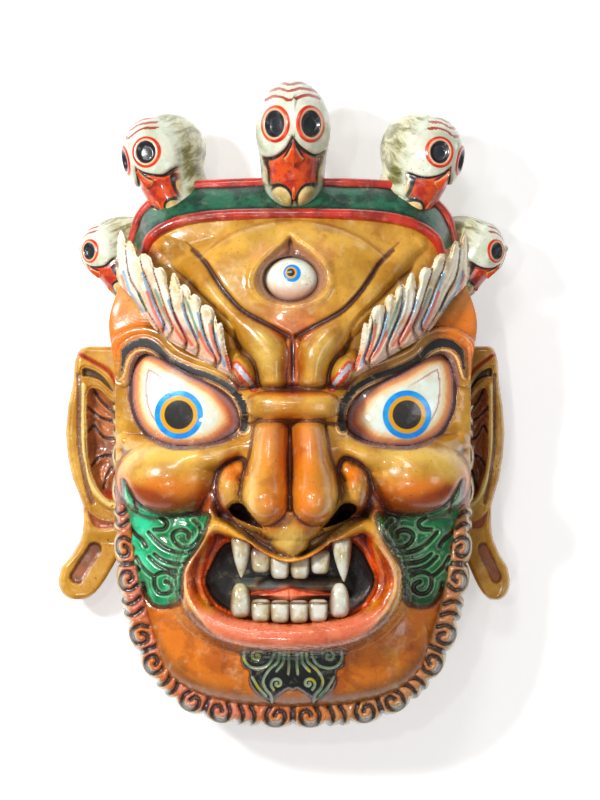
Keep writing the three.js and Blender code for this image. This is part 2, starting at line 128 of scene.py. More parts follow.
def inside(outline, x, y):
    """Whether each place lies inside a closed outline."""
    within = np.zeros(x.shape, bool)
    for (ax, ay), (bx, by) in zip(outline[:, :2], np.roll(outline[:, :2], -1, axis=0)):
        crosses = (ay > y) != (by > y)
        within ^= crosses & (x < (bx - ax) * (y - ay) / (by - ay + 1e-12) + ax)
    return within


def outline_distance(points, x, y, samples=120, reach=FAR):
    """Distance to a smooth closed outline, negative inside it."""
    outline = smooth_path(points, samples, closed=True)
    loop = np.vstack([outline, outline[:1]])
    distance, _, _ = nearest(loop, x, y, reach)
    return np.where(inside(outline, x, y), -distance, distance)


def lines_distance(lines, x, y, reach=12.0, samples=40):
    """Distance to the nearest of several smooth open lines."""
    closest = np.full(x.shape, reach)
    for line in lines:
        path = smooth_path(line, samples)
        closest = np.minimum(closest, nearest(path, x, y, reach)[0])
    return closest


def spiral(cx, cy, radius, start, turns, hand=1, inner=0.12):
    """The points of a spiral that winds in from its outer end at an angle in degrees."""
    t = np.linspace(0, 1, 14)
    angle = math.radians(start) + hand * turns * 2 * math.pi * t
    size = radius * (1 - (1 - inner) * t**0.8)
    return np.column_stack([cx + size * np.cos(angle), cy + size * np.sin(angle)])


def smooth_max(a, b, blend):
    """The higher of two heights, with a fillet where they cross."""
    near = np.maximum(blend - np.abs(a - b), 0.0) / blend
    return np.maximum(a, b) + near * near * blend / 4


def smooth_min(a, b, blend):
    return -smooth_max(-a, -b, blend)


def smooth_step(low, high, value):
    t = np.clip((value - low) / (high - low), 0, 1)
    return t * t * (3 - 2 * t)


def head_radius(angle, grow=0.0):
    """The head's outline as a distance from its middle."""
    cos, sin = np.cos(angle), np.sin(angle)
    upper = sin >= 0
    power = np.where(upper, CROWN_SQUARENESS, CHIN_SQUARENESS)
    reach = np.where(upper, CROWN_Y - WIDEST_Y, WIDEST_Y - CHIN_Y) + grow
    return (np.abs(cos / (HALF_WIDTH + grow)) ** power + np.abs(sin / reach) ** power) ** (-1 / power)


def dome_height(x, y):
    upper = y >= WIDEST_Y
    power = np.where(upper, CROWN_SQUARENESS, CHIN_SQUARENESS)
    reach = np.where(upper, CROWN_Y - WIDEST_Y, WIDEST_Y - CHIN_Y)
    share = (np.abs(x / HALF_WIDTH) ** power + np.abs((y - WIDEST_Y) / reach) ** power) ** (1 / power)
    return EDGE_Z + (DOME_Z - EDGE_Z) * np.sqrt(np.clip(1 - share**3, 0, 1))


STEEP = 2.6


def lobe(x, y, cx, cy, top, wide, tall, deep, turn=0.0, power=2.0):
    """A rounded lump seen from above: its height inside its edge and a steep fall outside it."""
    cos, sin = math.cos(math.radians(turn)), math.sin(math.radians(turn))
    u = np.abs(((x - cx) * cos + (y - cy) * sin) / wide)
    v = np.abs(((y - cy) * cos - (x - cx) * sin) / tall)
    q = (u**power + v**power) ** (2 / power)
    outside = np.maximum(0.0, np.sqrt(q) - 1) * min(wide, tall)
    return top - deep + deep * np.sqrt(np.maximum(0.0, 1 - q)) - STEEP * outside


def fold(x, y, points, widths, deep, reach=FAR, samples=50):
    """A rounded fold along a path of x, y and top height, with its half width given along it."""
    path = smooth_path(points, samples)
    distance, share, _ = nearest(path, x, y, reach)
    place = np.linspace(0, 1, samples)
    top = np.interp(share, place, path[:, 2])
    width = np.interp(share, np.linspace(0, 1, len(widths)), widths)
    q = (distance / width) ** 2
    body = top - deep + deep * np.sqrt(np.maximum(0.0, 1 - q)) - STEEP * np.maximum(0.0, distance - width)
    return np.where(distance < reach, body, -200.0)


def groove(x, y, points, depth, width, fade=0.12, closed=False, samples=50):
    """How deep a round-bottomed groove along a path is cut at each place."""
    path = smooth_path(points, samples, closed)
    if closed:
        path = np.vstack([path, path[:1]])
    distance, share, _ = nearest(path, x, y, 5 * width)
    ends = 1.0 if closed else smooth_step(0, fade, share) * smooth_step(0, fade, 1 - share)
    return depth * ends * np.exp(-((distance / width) ** 2))


def ripple(x, y, scale, seed=0.0):
    """A gentle carved unevenness between -1 and 1."""
    a = np.sin(x / scale * 1.7 + 1.3 * seed + 0.8 * np.sin(y / scale * 0.9 + seed))
    b = np.sin(y / scale * 1.9 + 0.7 * seed + 0.9 * np.sin(x / scale * 1.1 + 2.1 * seed))
    return 0.5 * (a + b)


# The carved lines of the face, for the half on the positive side. Each is mirrored.
EYE_OPENING = [
    (112.5, 38.8), (103, 36), (92.8, 30), (80, 22.5), (67.5, 16.8), (54, 9.5), (45, 1.5), (40.2, -8), (40.5, -19),
    (50, -26.5), (62.1, -30.5), (78, -32.5), (92.8, -32), (106, -27), (115, -19), (121.5, -6), (123.8, 9),
    (123, 24), (119, 35),
]
LID_OUTER = [
    (131.7, 22), (130, 33), (127.4, 42.6), (116.4, 50.6), (104.2, 47.5), (93.2, 36.5), (78.5, 29.1), (61.4, 23),
    (47.9, 15.7), (38.2, 5.9), (33.9, -6.1), (34.5, -19.4),
]
LID_INNER = [
    (40.2, -20.5), (39.4, -6.3), (44.3, 4.7), (54.1, 13.3), (66.3, 18.8), (83.4, 24.3), (96.9, 32.2),
    (105.4, 39.6), (116.4, 42.6), (124.8, 36.5), (130.2, 22),
]
LIP_OUTER = [
    (0, -187), (38, -184), (58, -175), (69, -163.5), (77.5, -150.5), (81.5, -138), (81.5, -127.5), (77.5, -118),
    (71.5, -109), (66.5, -101), (64, -93), (59, -88), (50, -91), (42, -96), (31, -104), (19, -110.5), (9, -115),
    (0, -116.5),
]
LIP_INNER = [
    (0, -167), (30, -164), (50, -159.5), (61, -151), (68, -139), (69, -128), (66, -118), (63.5, -108), (61.5, -99),
    (54, -97.5), (44, -100.5), (34, -103), (27, -107.5), (17, -113.8), (8, -117.8), (0, -119.5),
]
MOUTH_EDGE = [
    (0, -165.5), (24, -163.5), (40, -160.5), (50, -156.5), (59, -149), (65, -138), (64.5, -129), (60, -120),
    (56, -112), (50, -105.5), (42, -103.5), (33, -105), (27, -109.5), (17, -115.8), (8, -119.5), (0, -121),
]
NOSTRIL = [
    (49, -78), (45.5, -74.3), (40, -73.8), (35.5, -76.2), (30.5, -82.3), (25, -89), (20.8, -94.6), (26.5, -93.8),
    (34.5, -91.3), (43, -87.4), (48, -82.6),
]
SCROLL_LEAF = [
    (129.2, -58.2), (128.3, -65.7), (128, -79), (126.6, -92.3), (125.5, -102.3), (124.7, -113.9), (123, -123.9),
    (121.3, -133), (118, -139.7), (113.9, -143), (110.5, -148.8), (105.5, -153.8), (97.2, -154.7), (88.9, -152.2),
    (84.8, -147.2), (84.8, -138.9), (83.9, -126.4), (80.6, -118.9), (73.1, -108.1), (67.3, -97.3), (64, -84),
    (74, -84.5), (88.9, -85), (98.9, -84.5), (107.2, -82), (116.4, -77), (122.2, -70.5), (126.3, -63),
]
TUFT = [
    (0, -188.5), (39, -187.5), (39.5, -191), (38.5, -199.5), (33.2, -203), (33.2, -212), (28.5, -220.5), (19.5, -227),
    (15.5, -230.5), (12.5, -224.5), (8, -220.5), (3.5, -217.5), (0, -218.5),
]
THIRD_RIM = [
    (29, 96), (25, 107), (15, 117.5), (6, 124), (0, 129), (-6, 124), (-15, 116), (-25, 105), (-29, 94), (-26, 84),
    (-17, 77), (0, 74), (17, 77.5), (26, 85),
]
FOREHEAD_GROOVE = [(76, 117.5), (66, 107), (59, 96), (50.5, 84), (39.4, 72), (28, 64.6), (13, 56.8), (1.5, 50), (0.6, 42), (0.5, 25), (0.5, 9)]
FOLD_GROOVE = [(97, 107.4), (82, 96), (66.3, 80), (52, 67), (45, 58), (42.5, 48)]
KNOT_GROOVE = [(45, 58), (41.5, 46), (38, 37), (31.5, 30), (28.5, 21), (30, 13)]
KNOT_STRIPE = [(43, 29), (38.5, 24), (34, 18.5), (29.5, 12.5)]
WING_LINE = [(57.8, -70), (57.5, -57), (52.5, -47), (44.5, -41.5), (37, -42.5), (34.8, -52)]
NOSE_CREASE = [(60.5, -72), (57, -82), (50, -87.5), (42, -93), (31, -101), (19.5, -107.6), (9, -112.4), (3, -115)]
# The nose's groove, the teeth and the lips stand a little to the left of the face's middle line.
MOUTH_X = -2.2


def mirrored_outline(points):
    """Both halves of an outline given from the middle line round the positive side."""
    rows = np.asarray(points, float)
    other = rows[::-1][1:-1] if rows[0, 0] == 0 and rows[-1, 0] == 0 else rows[::-1]
    return np.vstack([rows, other * [-1, 1]])


def face_height(x, y):
    """The carved height of the face, from the plain dome up. The two halves match but for hand carving."""
    ax = np.abs(x)
    h = dome_height(x, y)
    h = h + 0.45 * ripple(x, y, 17, 1.0) + 0.25 * ripple(x, y, 8, 4.0)

    # Temples, jaw and the broad muzzle.
    h = smooth_max(h, lobe(ax, y, 124, 66, 96, 22, 40, 24), 14)
    h = smooth_max(h, lobe(ax, y, 0, -128, 139, 92, 66, 52, power=2.3), 12)
    h = smooth_max(h, lobe(ax, y, 0, -184, 117, 105, 48, 36, power=2.4), 20)

    # Forehead: the swell below the third eye and the two thick folds that sweep up from the bar.
    h = smooth_max(h, lobe(ax, y, 0, 78, 129, 84, 62, 30, power=2.0), 26)
    crown_foot = [(0, 138, 99), (55, 136.5, 98), (86, 131.5, 95), (104, 121, 89), (110, 109, 83)]
    h = smooth_max(h, fold(ax, y, crown_foot, [9, 9, 9, 8, 7], 8, reach=40), 13)
    inner = [
        (12.8, 4, 146), (14.6, 20, 148), (17, 38, 149), (27, 52, 146), (41, 64, 139), (54, 78, 131), (67, 95, 122),
        (82, 112, 108), (96, 122, 97),
    ]
    raised = smooth_max(h, fold(ax, y, inner, [9.5, 11.5, 14.5, 15, 13, 13, 14, 14, 10], 22), 5)
    valley = smooth_path(FOREHEAD_GROOVE, 70)
    gap, _, hand = nearest(valley, ax, y, 40)
    h = h + (raised - h) * smooth_step(-1.5, 3.0, gap * hand)
    h = smooth_max(h, lobe(ax, y, 37, 24.5, 146, 8.2, 12.5, 11, turn=-22), 1.5)
    h = smooth_max(h, fold(ax, y, [(0, 4, 137), (0, 24, 138), (0, 44, 136)], [6.5, 6.5, 6.5], 8, reach=20), 2)
    h = h - groove(ax, y, FOREHEAD_GROOVE, 4.5, 1.7, fade=0.12)
    h = h - groove(ax, y, FOLD_GROOVE, 3.2, 2.0, fade=0.2)
    h = h - groove(ax, y, KNOT_GROOVE, 5.0, 2.4, fade=0.12)

    # Third eye: a pointed rim round a sunk socket.
    rim = outline_distance(THIRD_RIM, x + 1.8, y, reach=30)
    h = h + 1.8 * np.exp(-(((rim - 1.5) / 3.0) ** 2)) * smooth_step(62, 84, y)
    h = h + 1.5 * np.exp(-(((x + 1.5) / 17) ** 2) - ((y - 70) / 5.5) ** 2)
    socket = (((x + 1.5) / 21.8) ** 2 + ((y - 94.5) / 18.0) ** 2) ** 0.5
    h = h - 5.5 * smooth_step(0.6, -7.0, rim) - 12 * smooth_step(1.06, 0.86, socket)
    h = h - 3.0 * np.exp(-(((x + 1.8) / 2.6) ** 2)) * smooth_step(104, 116, y) * smooth_step(130, 122, y)

    # Eyes: a raised upper lid, a soft roll round it and the sunk opening.
    eye = outline_distance(EYE_OPENING, ax, y, reach=40)
    lid_top = 127 - 0.27 * (ax - 42) - 0.0006 * (ax - 42) ** 2
    upper = smooth_step(-26, -8, y + 0.1 * (ax - 80))
    band = outline_distance(LID_OUTER + LID_INNER, ax, y, reach=30)
    h = np.where(eye < 34, smooth_max(h, lid_top - 2 - 0.035 * np.maximum(0, eye - 6) ** 1.7 - 6 * (1 - upper), 8), h)
    h = np.where(band < 8, smooth_max(h, lid_top + 1.6 - 0.02 * (band + 2.5) ** 2, 2), h)
    h = h - 1.2 * np.exp(-(((band - 1.8) / 1.1) ** 2)) * smooth_step(0, 3, eye)
    h = h + 1.8 * np.exp(-(((band - 6.5) / 3.2) ** 2)) * smooth_step(3, 8, eye)

    # Cheeks hang from a fold under the eye that runs in to the nose.
    under = [(24, -31, 133), (40, -33, 135), (62, -40, 135), (88, -41, 131), (112, -36, 118), (128, -28, 98)]
    h = smooth_max(h, fold(ax, y, under, [7, 8.5, 12, 14, 13, 8], 20), 8)
    h = smooth_max(h, lobe(ax, y, 92, -56, 139, 43, 31, 40, turn=-5, power=2.15), 7)
    h = smooth_max(h, fold(ax, y, [(126, -6, 92), (131, -28, 90), (133, -48, 84)], [6, 7, 6], 14), 8)

    # Nose: its broad back, wings, the two long lobes and the septum.
    mx = np.abs(x - MOUTH_X)
    h = smooth_max(h, lobe(ax, y, 0, -46, 146, 44, 42, 30, power=2.4), 8)
    wing = [(41, -50, 143), (46, -55.5, 150), (47.5, -64, 152.5), (46, -73, 150)]
    h = smooth_max(h, fold(ax, y, wing, [7, 9.5, 10, 9.5], 20, reach=40), 2)
    h = h - groove(ax, y, WING_LINE, 3.5, 2.0, fade=0.12)
    nose = [(14, -12, 152), (15, -26, 160), (16, -42, 166), (18, -56, 175), (18.3, -67, 183), (17.8, -74.5, 184)]
    h = smooth_max(h, fold(mx, y, nose, [12.5, 13.3, 14.5, 16.8, 17.8, 17], 32), 2)
    septum = [(0, -82, 162), (0, -92, 162), (0, -99, 160), (0, -102.5, 158)]
    h = smooth_max(h, fold(mx, y, septum, [25, 24, 19, 13.5], 18, reach=40), 2)
    h = h - groove(mx, y, [(0, -10), (0, -30), (0, -55), (0, -82)], 8, 1.8, fade=0.04)

    # The bar between the brows.
    bar = lobe(x, y, 0, -1.2, 158 - 0.0025 * x * x, 35, 10, 15, power=4.0)
    h = h - 9 * np.exp(-(((y - 11.5) / 3.0) ** 2)) * smooth_step(44, 34, ax)
    h = h - 6 * np.exp(-(((y + 13) / 2.4) ** 2)) * smooth_step(38, 26, ax)
    h = smooth_max(h, bar, 1.5)

    # The strip beside the nose that becomes the lip's rim, and the crease that parts it from the nose.
    cheek_strip = [(61, -70, 126), (62, -82, 134), (64, -92, 140), (70, -104, 141), (77, -116, 139), (80, -128, 136)]
    h = smooth_max(h, fold(ax, y, cheek_strip, [5, 7, 7.5, 6.5, 6, 6], 18, reach=40), 4)

    # Lips.
    lip_path = [
        (0, -118.2, 150), (12, -115.8, 149.5), (24, -109.5, 148), (34, -102, 146.5), (45, -95.5, 145),
        (56, -92, 143), (64.5, -97, 142), (70, -106, 141), (75.5, -116, 140), (78.5, -130, 138), (77, -144, 138),
        (68.5, -158, 140), (54, -168, 144), (32, -174, 148), (0, -176, 150),
    ]
    widths = [2.6, 2.8, 3.4, 4.2, 5.2, 6, 6.5, 6.5, 6.5, 6.5, 7.5, 9, 10, 10, 10.2]
    h = smooth_max(h, fold(mx, y, lip_path, widths, 15, reach=40), 4)
    shelf = [(63, -102, 136), (67.5, -112, 133), (71.5, -126, 131), (71, -138, 130), (65, -149, 132)]
    h = smooth_max(h, fold(mx, y, shelf, [5, 6, 7.5, 7.5, 6], 8, reach=30), 4)
    h = h - groove(ax, y, NOSE_CREASE, 4, 2.4, fade=0.1)
    mouth = outline_distance(mirrored_outline(MOUTH_EDGE), x - MOUTH_X, y, samples=200, reach=70)
    pit = 104 + 34 * smooth_step(-1.6, 1.2, mouth) - 3 * smooth_step(-2, -9, mouth)
    h = np.where(mouth < 3, np.minimum(h, smooth_min(h, pit + 60 * smooth_step(0.2, 2.6, mouth), 3)), h)

    # Nostrils.
    nostril = outline_distance(NOSTRIL, ax, y, reach=20)
    h = h - 30 * smooth_step(0.6, -3.5, nostril)

    # Scroll leaves on the cheeks, with grooves along their curls.
    leaf = outline_distance(SCROLL_LEAF, ax, y, reach=20)
    h = h + 3.0 * smooth_step(0.6, -1.6, leaf)
    h = h - 1.6 * np.exp(-((leaf - 1.2) / 1.4) ** 2)
    curls = lines_distance(LEAF_LINES, ax, y)
    gaps = lines_distance(LEAF_GAPS, ax, y)
    within = smooth_step(0.5, -1.5, leaf)
    carved = 1.1 * np.exp(-((curls - 3.4) / 2.0) ** 2) - 2.5 * np.exp(-((curls / 1.2) ** 2))
    h = h + within * (carved - 3.2 * np.exp(-((gaps / 1.6) ** 2)))

    # The tuft on the chin.
    tuft = outline_distance(mirrored_outline(TUFT), x, y, reach=20)
    h = h + 2.4 * smooth_step(0.4, -1.4, tuft)
    hairs = lines_distance(TUFT_LINES, ax, y)
    h = h - smooth_step(0.5, -1.0, tuft) * 1.2 * np.exp(-((hairs / 0.9) ** 2))

    # The eye opening is cut last.
    wall = smooth_step(0.8, -1.6, eye)
    return h * (1 - wall) + np.minimum(h, 88.0) * wall


LEAF_LINES = [
    [(79, -101), (79.6, -97.7), (84.3, -95.8), (88.9, -96.9), (91.6, -100.2), (89.8, -105.2), (83.9, -108.8),
     (77.3, -107.5), (72.3, -103.3), (69.6, -97.3), (70.5, -92.3), (75.2, -88.5)],
    [(110.1, -98.1), (103.9, -104.8), (97.2, -109.8), (88.9, -112.7), (80.6, -112.3), (74.8, -109.8)],
    [(105.5, -114.8), (99.7, -118.9), (92.2, -121), (82.3, -121)],
    [(109.7, -116.8), (103.9, -122.2), (97.2, -125.6), (88.9, -126.8)],
    [(119.7, -117.3), (115.5, -123.9), (110.5, -128.9), (106.4, -131.4)],
    [(96.8, -135.5), (93.1, -137.2), (92.2, -141.4), (96.4, -144.7), (102.2, -143.9), (105.5, -138.9),
     (105.5, -132.2), (101.4, -128.9), (95.6, -128.2), (90, -131)],
    [(101, -86), (96, -90.5), (98, -95), (106, -96)],
]
LEAF_GAPS = [
    [(127, -91.5), (120.5, -99.8), (115.5, -103.9), (112.2, -108.9)], [(124.5, -62.5), (119.7, -74), (118.8, -82.3)],
    [(125, -107), (122.6, -111)], [(114.7, -137.2), (113, -143.2)], [(119.4, -125), (117.8, -126.8)],
]
TUFT_LINES = [
    [(36.9, -187), (37.2, -193.8), (32.9, -199.5), (26, -200.8), (19.3, -198.3), (15.3, -192.5), (13.8, -186.2)],
    spiral(27.3, -191.6, 5.8, 150, 1.25, hand=-1),
    [(10.2, -187), (11.2, -195.2), (18, -201.9), (22.6, -210), (21.2, -216.7), (17.2, -222.1), (15.8, -228)],
    spiral(12, -212.8, 5.6, 300, 1.3),
    [(3.2, -189), (3, -198), (3.6, -205)],
    [(6.6, -188), (7.4, -196), (12.5, -203)],
    [(31, -208), (26.5, -216), (20.5, -223)],
]


class HeightField:
    """A raster of the face's height, and of how far each place lies in a crevice."""

    def __init__(self, step):
        self.step = step
        self.x = np.arange(-146, 146 + step, step)
        self.y = np.arange(-254, 182 + step, step)
        gx, gy = np.meshgrid(self.x, self.y)
        self.height = face_height(gx, gy)
        fine = self.blur(1.6)
        broad = self.blur(5.0)
        self.crevice = np.clip((fine - self.height) * 0.75, -1, 1.3) + np.clip((broad - self.height) * 0.05, -0.5, 0.4)

    def blur(self, sigma):
        reach = int(3 * sigma / self.step) + 1
        kernel = np.exp(-0.5 * (np.arange(-reach, reach + 1) * self.step / sigma) ** 2)
        kernel /= kernel.sum()
        padded = np.pad(self.height, reach, mode="edge")
        rows = sum(k * padded[i : i + self.height.shape[0], :] for i, k in enumerate(kernel))
        return sum(k * rows[:, i : i + self.height.shape[1]] for i, k in enumerate(kernel))

    def sample(self, values, x, y):
        u = np.clip((x - self.x[0]) / self.step, 0, len(self.x) - 1.001)
        v = np.clip((y - self.y[0]) / self.step, 0, len(self.y) - 1.001)
        i, j = u.astype(int), v.astype(int)
        fu, fv = u - i, v - j
        low = values[j, i] * (1 - fu) + values[j, i + 1] * fu
        high = values[j + 1, i] * (1 - fu) + values[j + 1, i + 1] * fu
        return low * (1 - fv) + high * fv


def new_mesh(name, points, faces):
    """A mesh in metres from points in millimetres on the mask."""
    places = (np.asarray(points, float) + [MIDDLE_X, 0, 0]) * MM
    mesh = bpy.data.meshes.new(name)
    mesh.from_pydata(places.tolist(), [], faces.tolist() if isinstance(faces, np.ndarray) else faces)
    mesh.validate()
    mesh.update()
    mesh.polygons.foreach_set("use_smooth", [True] * len(mesh.polygons))
    return mesh


def mask_points(mesh):
    """A mesh's points back in millimetres on the mask."""
    values = np.zeros(len(mesh.vertices) * 3)
    mesh.vertices.foreach_get("co", values)
    return values.reshape(-1, 3) / MM - [MIDDLE_X, 0, 0]


def set_values(mesh, values):
    """Writes named numbers, one for each vertex, for the materials to read."""
    for name, numbers in values.items():
        kind = "FLOAT_VECTOR" if np.ndim(numbers) == 2 else "FLOAT"
        attribute = mesh.attributes.new(name, kind, "POINT")
        field = "vector" if kind == "FLOAT_VECTOR" else "value"
        attribute.data.foreach_set(field, np.asarray(numbers, np.float32).ravel())


def grid_faces(rows, columns, wrap=False, start=0):
    """The quads of a grid of points, joined round if it wraps across its columns."""
    across = columns if wrap else columns - 1
    r, c = np.meshgrid(np.arange(rows - 1), np.arange(across), indexing="ij")
    a = r * columns + c
    b = r * columns + (c + 1) % columns
    return np.stack([a, b, b + columns, a + columns], -1).reshape(-1, 4) + start


def place_piece(name, mesh, slot, nodes, *materials):
    """Puts a finished mesh in the scene, riding on the mask's one body."""
    piece = bpy.data.objects.new(name, mesh)
    bpy.context.scene.collection.objects.link(piece)
    for material in materials:
        mesh.materials.append(material)
    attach(piece, "root")
    if nodes:
        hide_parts(*nodes)
    return piece


def thinned(mesh, share):
    """The mesh with fewer faces where it is flat."""
    holder = bpy.data.objects.new("thinning", mesh)
    bpy.context.scene.collection.objects.link(holder)
    modifier = holder.modifiers.new("thin", "DECIMATE")
    modifier.ratio = share
    graph = bpy.context.evaluated_depsgraph_get()
    result = bpy.data.meshes.new_from_object(holder.evaluated_get(graph))
    bpy.data.objects.remove(holder)
    bpy.data.meshes.remove(mesh)
    result.polygons.foreach_set("use_smooth", [True] * len(result.polygons))
    return result


class Shading:
    """Small helpers that add nodes to one tree and hand back their sockets."""

    def __init__(self, tree):
        self.tree = tree

    def node(self, kind, **settings):
        made = self.tree.nodes.new(kind)
        for name, value in settings.items():
            setattr(made, name, value)
        return made

    def feed(self, socket, value):
        if isinstance(value, bpy.types.NodeSocket):
            self.tree.links.new(value, socket)
        else:
            socket.default_value = value

    def math(self, operation, *values, clamp=False):
        made = self.node("ShaderNodeMath", operation=operation, use_clamp=clamp)
        for socket, value in zip(made.inputs, values):
            self.feed(socket, value)
        return made.outputs[0]

    def mix(self, share, first, second, blend="MIX"):
        made = self.node("ShaderNodeMix", data_type="RGBA", blend_type=blend)
        self.feed(made.inputs[0], share)
        self.feed(made.inputs[6], first)
        self.feed(made.inputs[7], second)
        return made.outputs[2]

    def step(self, value, low, high, clamp=True):
        """0 below low to 1 above high, or the other way round where low is the larger."""
        made = self.node("ShaderNodeMapRange", interpolation_type="SMOOTHSTEP", clamp=clamp)
        self.feed(made.inputs[0], value)
        if low < high:
            made.inputs[1].default_value, made.inputs[2].default_value = low, high
            made.inputs[3].default_value, made.inputs[4].default_value = 0.0, 1.0
        else:
            made.inputs[1].default_value, made.inputs[2].default_value = high, low
            made.inputs[3].default_value, made.inputs[4].default_value = 1.0, 0.0
        return made.outputs[0]

    def line(self, distance, half_width, soft=0.5):
        """1 on a painted line, from the distance to its middle."""
        return self.step(self.math("ABSOLUTE", distance), half_width + soft, half_width)

    def value(self, name):
        return self.node("ShaderNodeAttribute", attribute_name=name).outputs["Fac"]

    def vector(self, name):
        return self.node("ShaderNodeAttribute", attribute_name=name).outputs["Vector"]

    def place(self):
        return self.node("ShaderNodeTexCoord").outputs["Object"]

    def split(self, vector):
        return self.node("ShaderNodeSeparateXYZ"), vector

    def noise(self, scale, detail=3.0, rough=0.5, distort=0.0, place=None):
        made = self.node("ShaderNodeTexNoise")
        self.feed(made.inputs["Vector"], place or self.place())
        made.inputs["Scale"].default_value = scale
        made.inputs["Detail"].default_value = detail
        made.inputs["Roughness"].default_value = rough
        made.inputs["Distortion"].default_value = distort
        return made.outputs["Fac"]


DEEPEN = 1.10


def rgb(red, green, blue):
    """A seen sRGB colour of 0 to 255 as the linear paint under the gloss, a little deeper than it looks."""
    def linear(c):
        c /= 255
        return c / 12.92 if c <= 0.04045 else ((c + 0.055) / 1.055) ** 2.4
    seen = [linear(c) for c in (red, green, blue)]
    grey = 0.2126 * seen[0] + 0.7152 * seen[1] + 0.0722 * seen[2]
    return (*(min(0.95, max(0.002, grey + (c - grey) * DEEPEN)) for c in seen), 1.0)


GOLD = rgb(210, 160, 78)
OCHRE = rgb(176, 124, 50)
BRIGHT = rgb(236, 200, 112)
ORANGE = rgb(216, 122, 52)
PEACH = rgb(224, 158, 112)
RUST = rgb(146, 58, 18)
RED = rgb(205, 62, 34)
DEEP_RED = rgb(120, 28, 22)
SALMON = rgb(226, 128, 96)
PATINA = rgb(70, 40, 38)
INK = rgb(26, 24, 24)
CREAM = rgb(240, 226, 186)
GREEN = rgb(46, 142, 84)
DARK_GREEN = rgb(12, 58, 34)
LIGHT_GREEN = rgb(128, 196, 128)
SLATE = rgb(70, 72, 74)
EYE_WHITE = rgb(236, 246, 234)
EYE_BLUE = rgb(10, 140, 226)
EYE_YELLOW = rgb(226, 164, 48)
TOOTH = rgb(226, 220, 196)
SKULL_WHITE = rgb(236, 240, 222)
OLIVE = rgb(122, 118, 74)
BAND_GREEN = rgb(40, 98, 72)
ROLL_RED = rgb(196, 58, 46)
HAIR_WHITE = rgb(240, 240, 226)
STRIPE_BLUE = rgb(70, 150, 200)
TUFT_LINE = rgb(150, 158, 120)


def aged_lacquer():
    """A group for every painted piece: crevices fill with dark patina, the paint is mottled and specked."""
    group = bpy.data.node_groups.get("Aged lacquer")
    if group:
        return group
    group = bpy.data.node_groups.new("Aged lacquer", "ShaderNodeTree")
    face = group.interface
    face.new_socket("Paint", in_out="INPUT", socket_type="NodeSocketColor")
    for name, default in (("Crevice", 0.0), ("Patina", 1.0), ("Mottle", 1.0), ("Specks", 1.0), ("Waviness", 1.0)):
        face.new_socket(name, in_out="INPUT", socket_type="NodeSocketFloat").default_value = default
    face.new_socket("Colour", in_out="OUTPUT", socket_type="NodeSocketColor")
    face.new_socket("Roughness", in_out="OUTPUT", socket_type="NodeSocketFloat")
    face.new_socket("Height", in_out="OUTPUT", socket_type="NodeSocketFloat")
    s = Shading(group)
    given = s.node("NodeGroupInput").outputs
    put = s.node("NodeGroupOutput").inputs
    cloud = s.noise(38, 4, 0.6)
    blotch = s.noise(95, 5, 0.65, 0.4)
    grain = s.noise(420, 3, 0.6)
    # Mottling lightens and darkens the paint by a little.
    darker = s.math("MULTIPLY", s.step(cloud, 0.50, 0.34), s.math("MULTIPLY", given["Mottle"], 0.30))
    colour = s.mix(darker, given["Paint"], s.mix(1.0, given["Paint"], rgb(170, 120, 80), "MULTIPLY"))
    lighter = s.math("MULTIPLY", s.step(blotch, 0.55, 0.72), s.math("MULTIPLY", given["Mottle"], 0.20))
    colour = s.mix(lighter, colour, s.mix(0.6, colour, rgb(255, 240, 200), "SCREEN"))
    # Patina gathers in the crevices, with a broken edge.
    broken = s.math("ADD", given["Crevice"], s.math("MULTIPLY", s.math("SUBTRACT", blotch, 0.5), 0.7))
    stain = s.math("MULTIPLY", s.step(broken, 0.10, 0.75), 0.55)
    deep = s.math("MULTIPLY", s.step(given["Crevice"], 0.45, 1.05), 0.92)
    dirt = s.math("MULTIPLY", s.math("MAXIMUM", stain, deep), given["Patina"], clamp=True)
    colour = s.mix(s.math("MULTIPLY", stain, given["Patina"], clamp=True), colour,
                   s.mix(1.0, colour, rgb(176, 96, 58), "MULTIPLY"))
    colour = s.mix(s.math("MULTIPLY", deep, given["Patina"], clamp=True), colour, PATINA)
    speck = s.math("MULTIPLY", s.step(s.noise(640, 2, 0.5), 0.655, 0.70), s.step(cloud, 0.44, 0.60))
    speck = s.math("MULTIPLY", speck, s.math("MULTIPLY", given["Specks"], 0.55), clamp=True)
    colour = s.mix(speck, colour, rgb(70, 40, 24))
    s.feed(put["Colour"], colour)
    dull = s.math("ADD", s.math("MULTIPLY", dirt, 0.22), s.math("MULTIPLY", blotch, 0.16))
    s.feed(put["Roughness"], s.math("ADD", dull, 0.20))
    waves = s.math("MULTIPLY", s.noise(60, 2, 0.5), 0.9)
    height = s.math("ADD", s.math("MULTIPLY", waves, given["Waviness"]), s.math("MULTIPLY", blotch, 0.30))
    height = s.math("ADD", height, s.math("MULTIPLY", grain, 0.07))
    s.feed(put["Height"], s.math("SUBTRACT", height, s.math("MULTIPLY", speck, 0.2)))
    return group


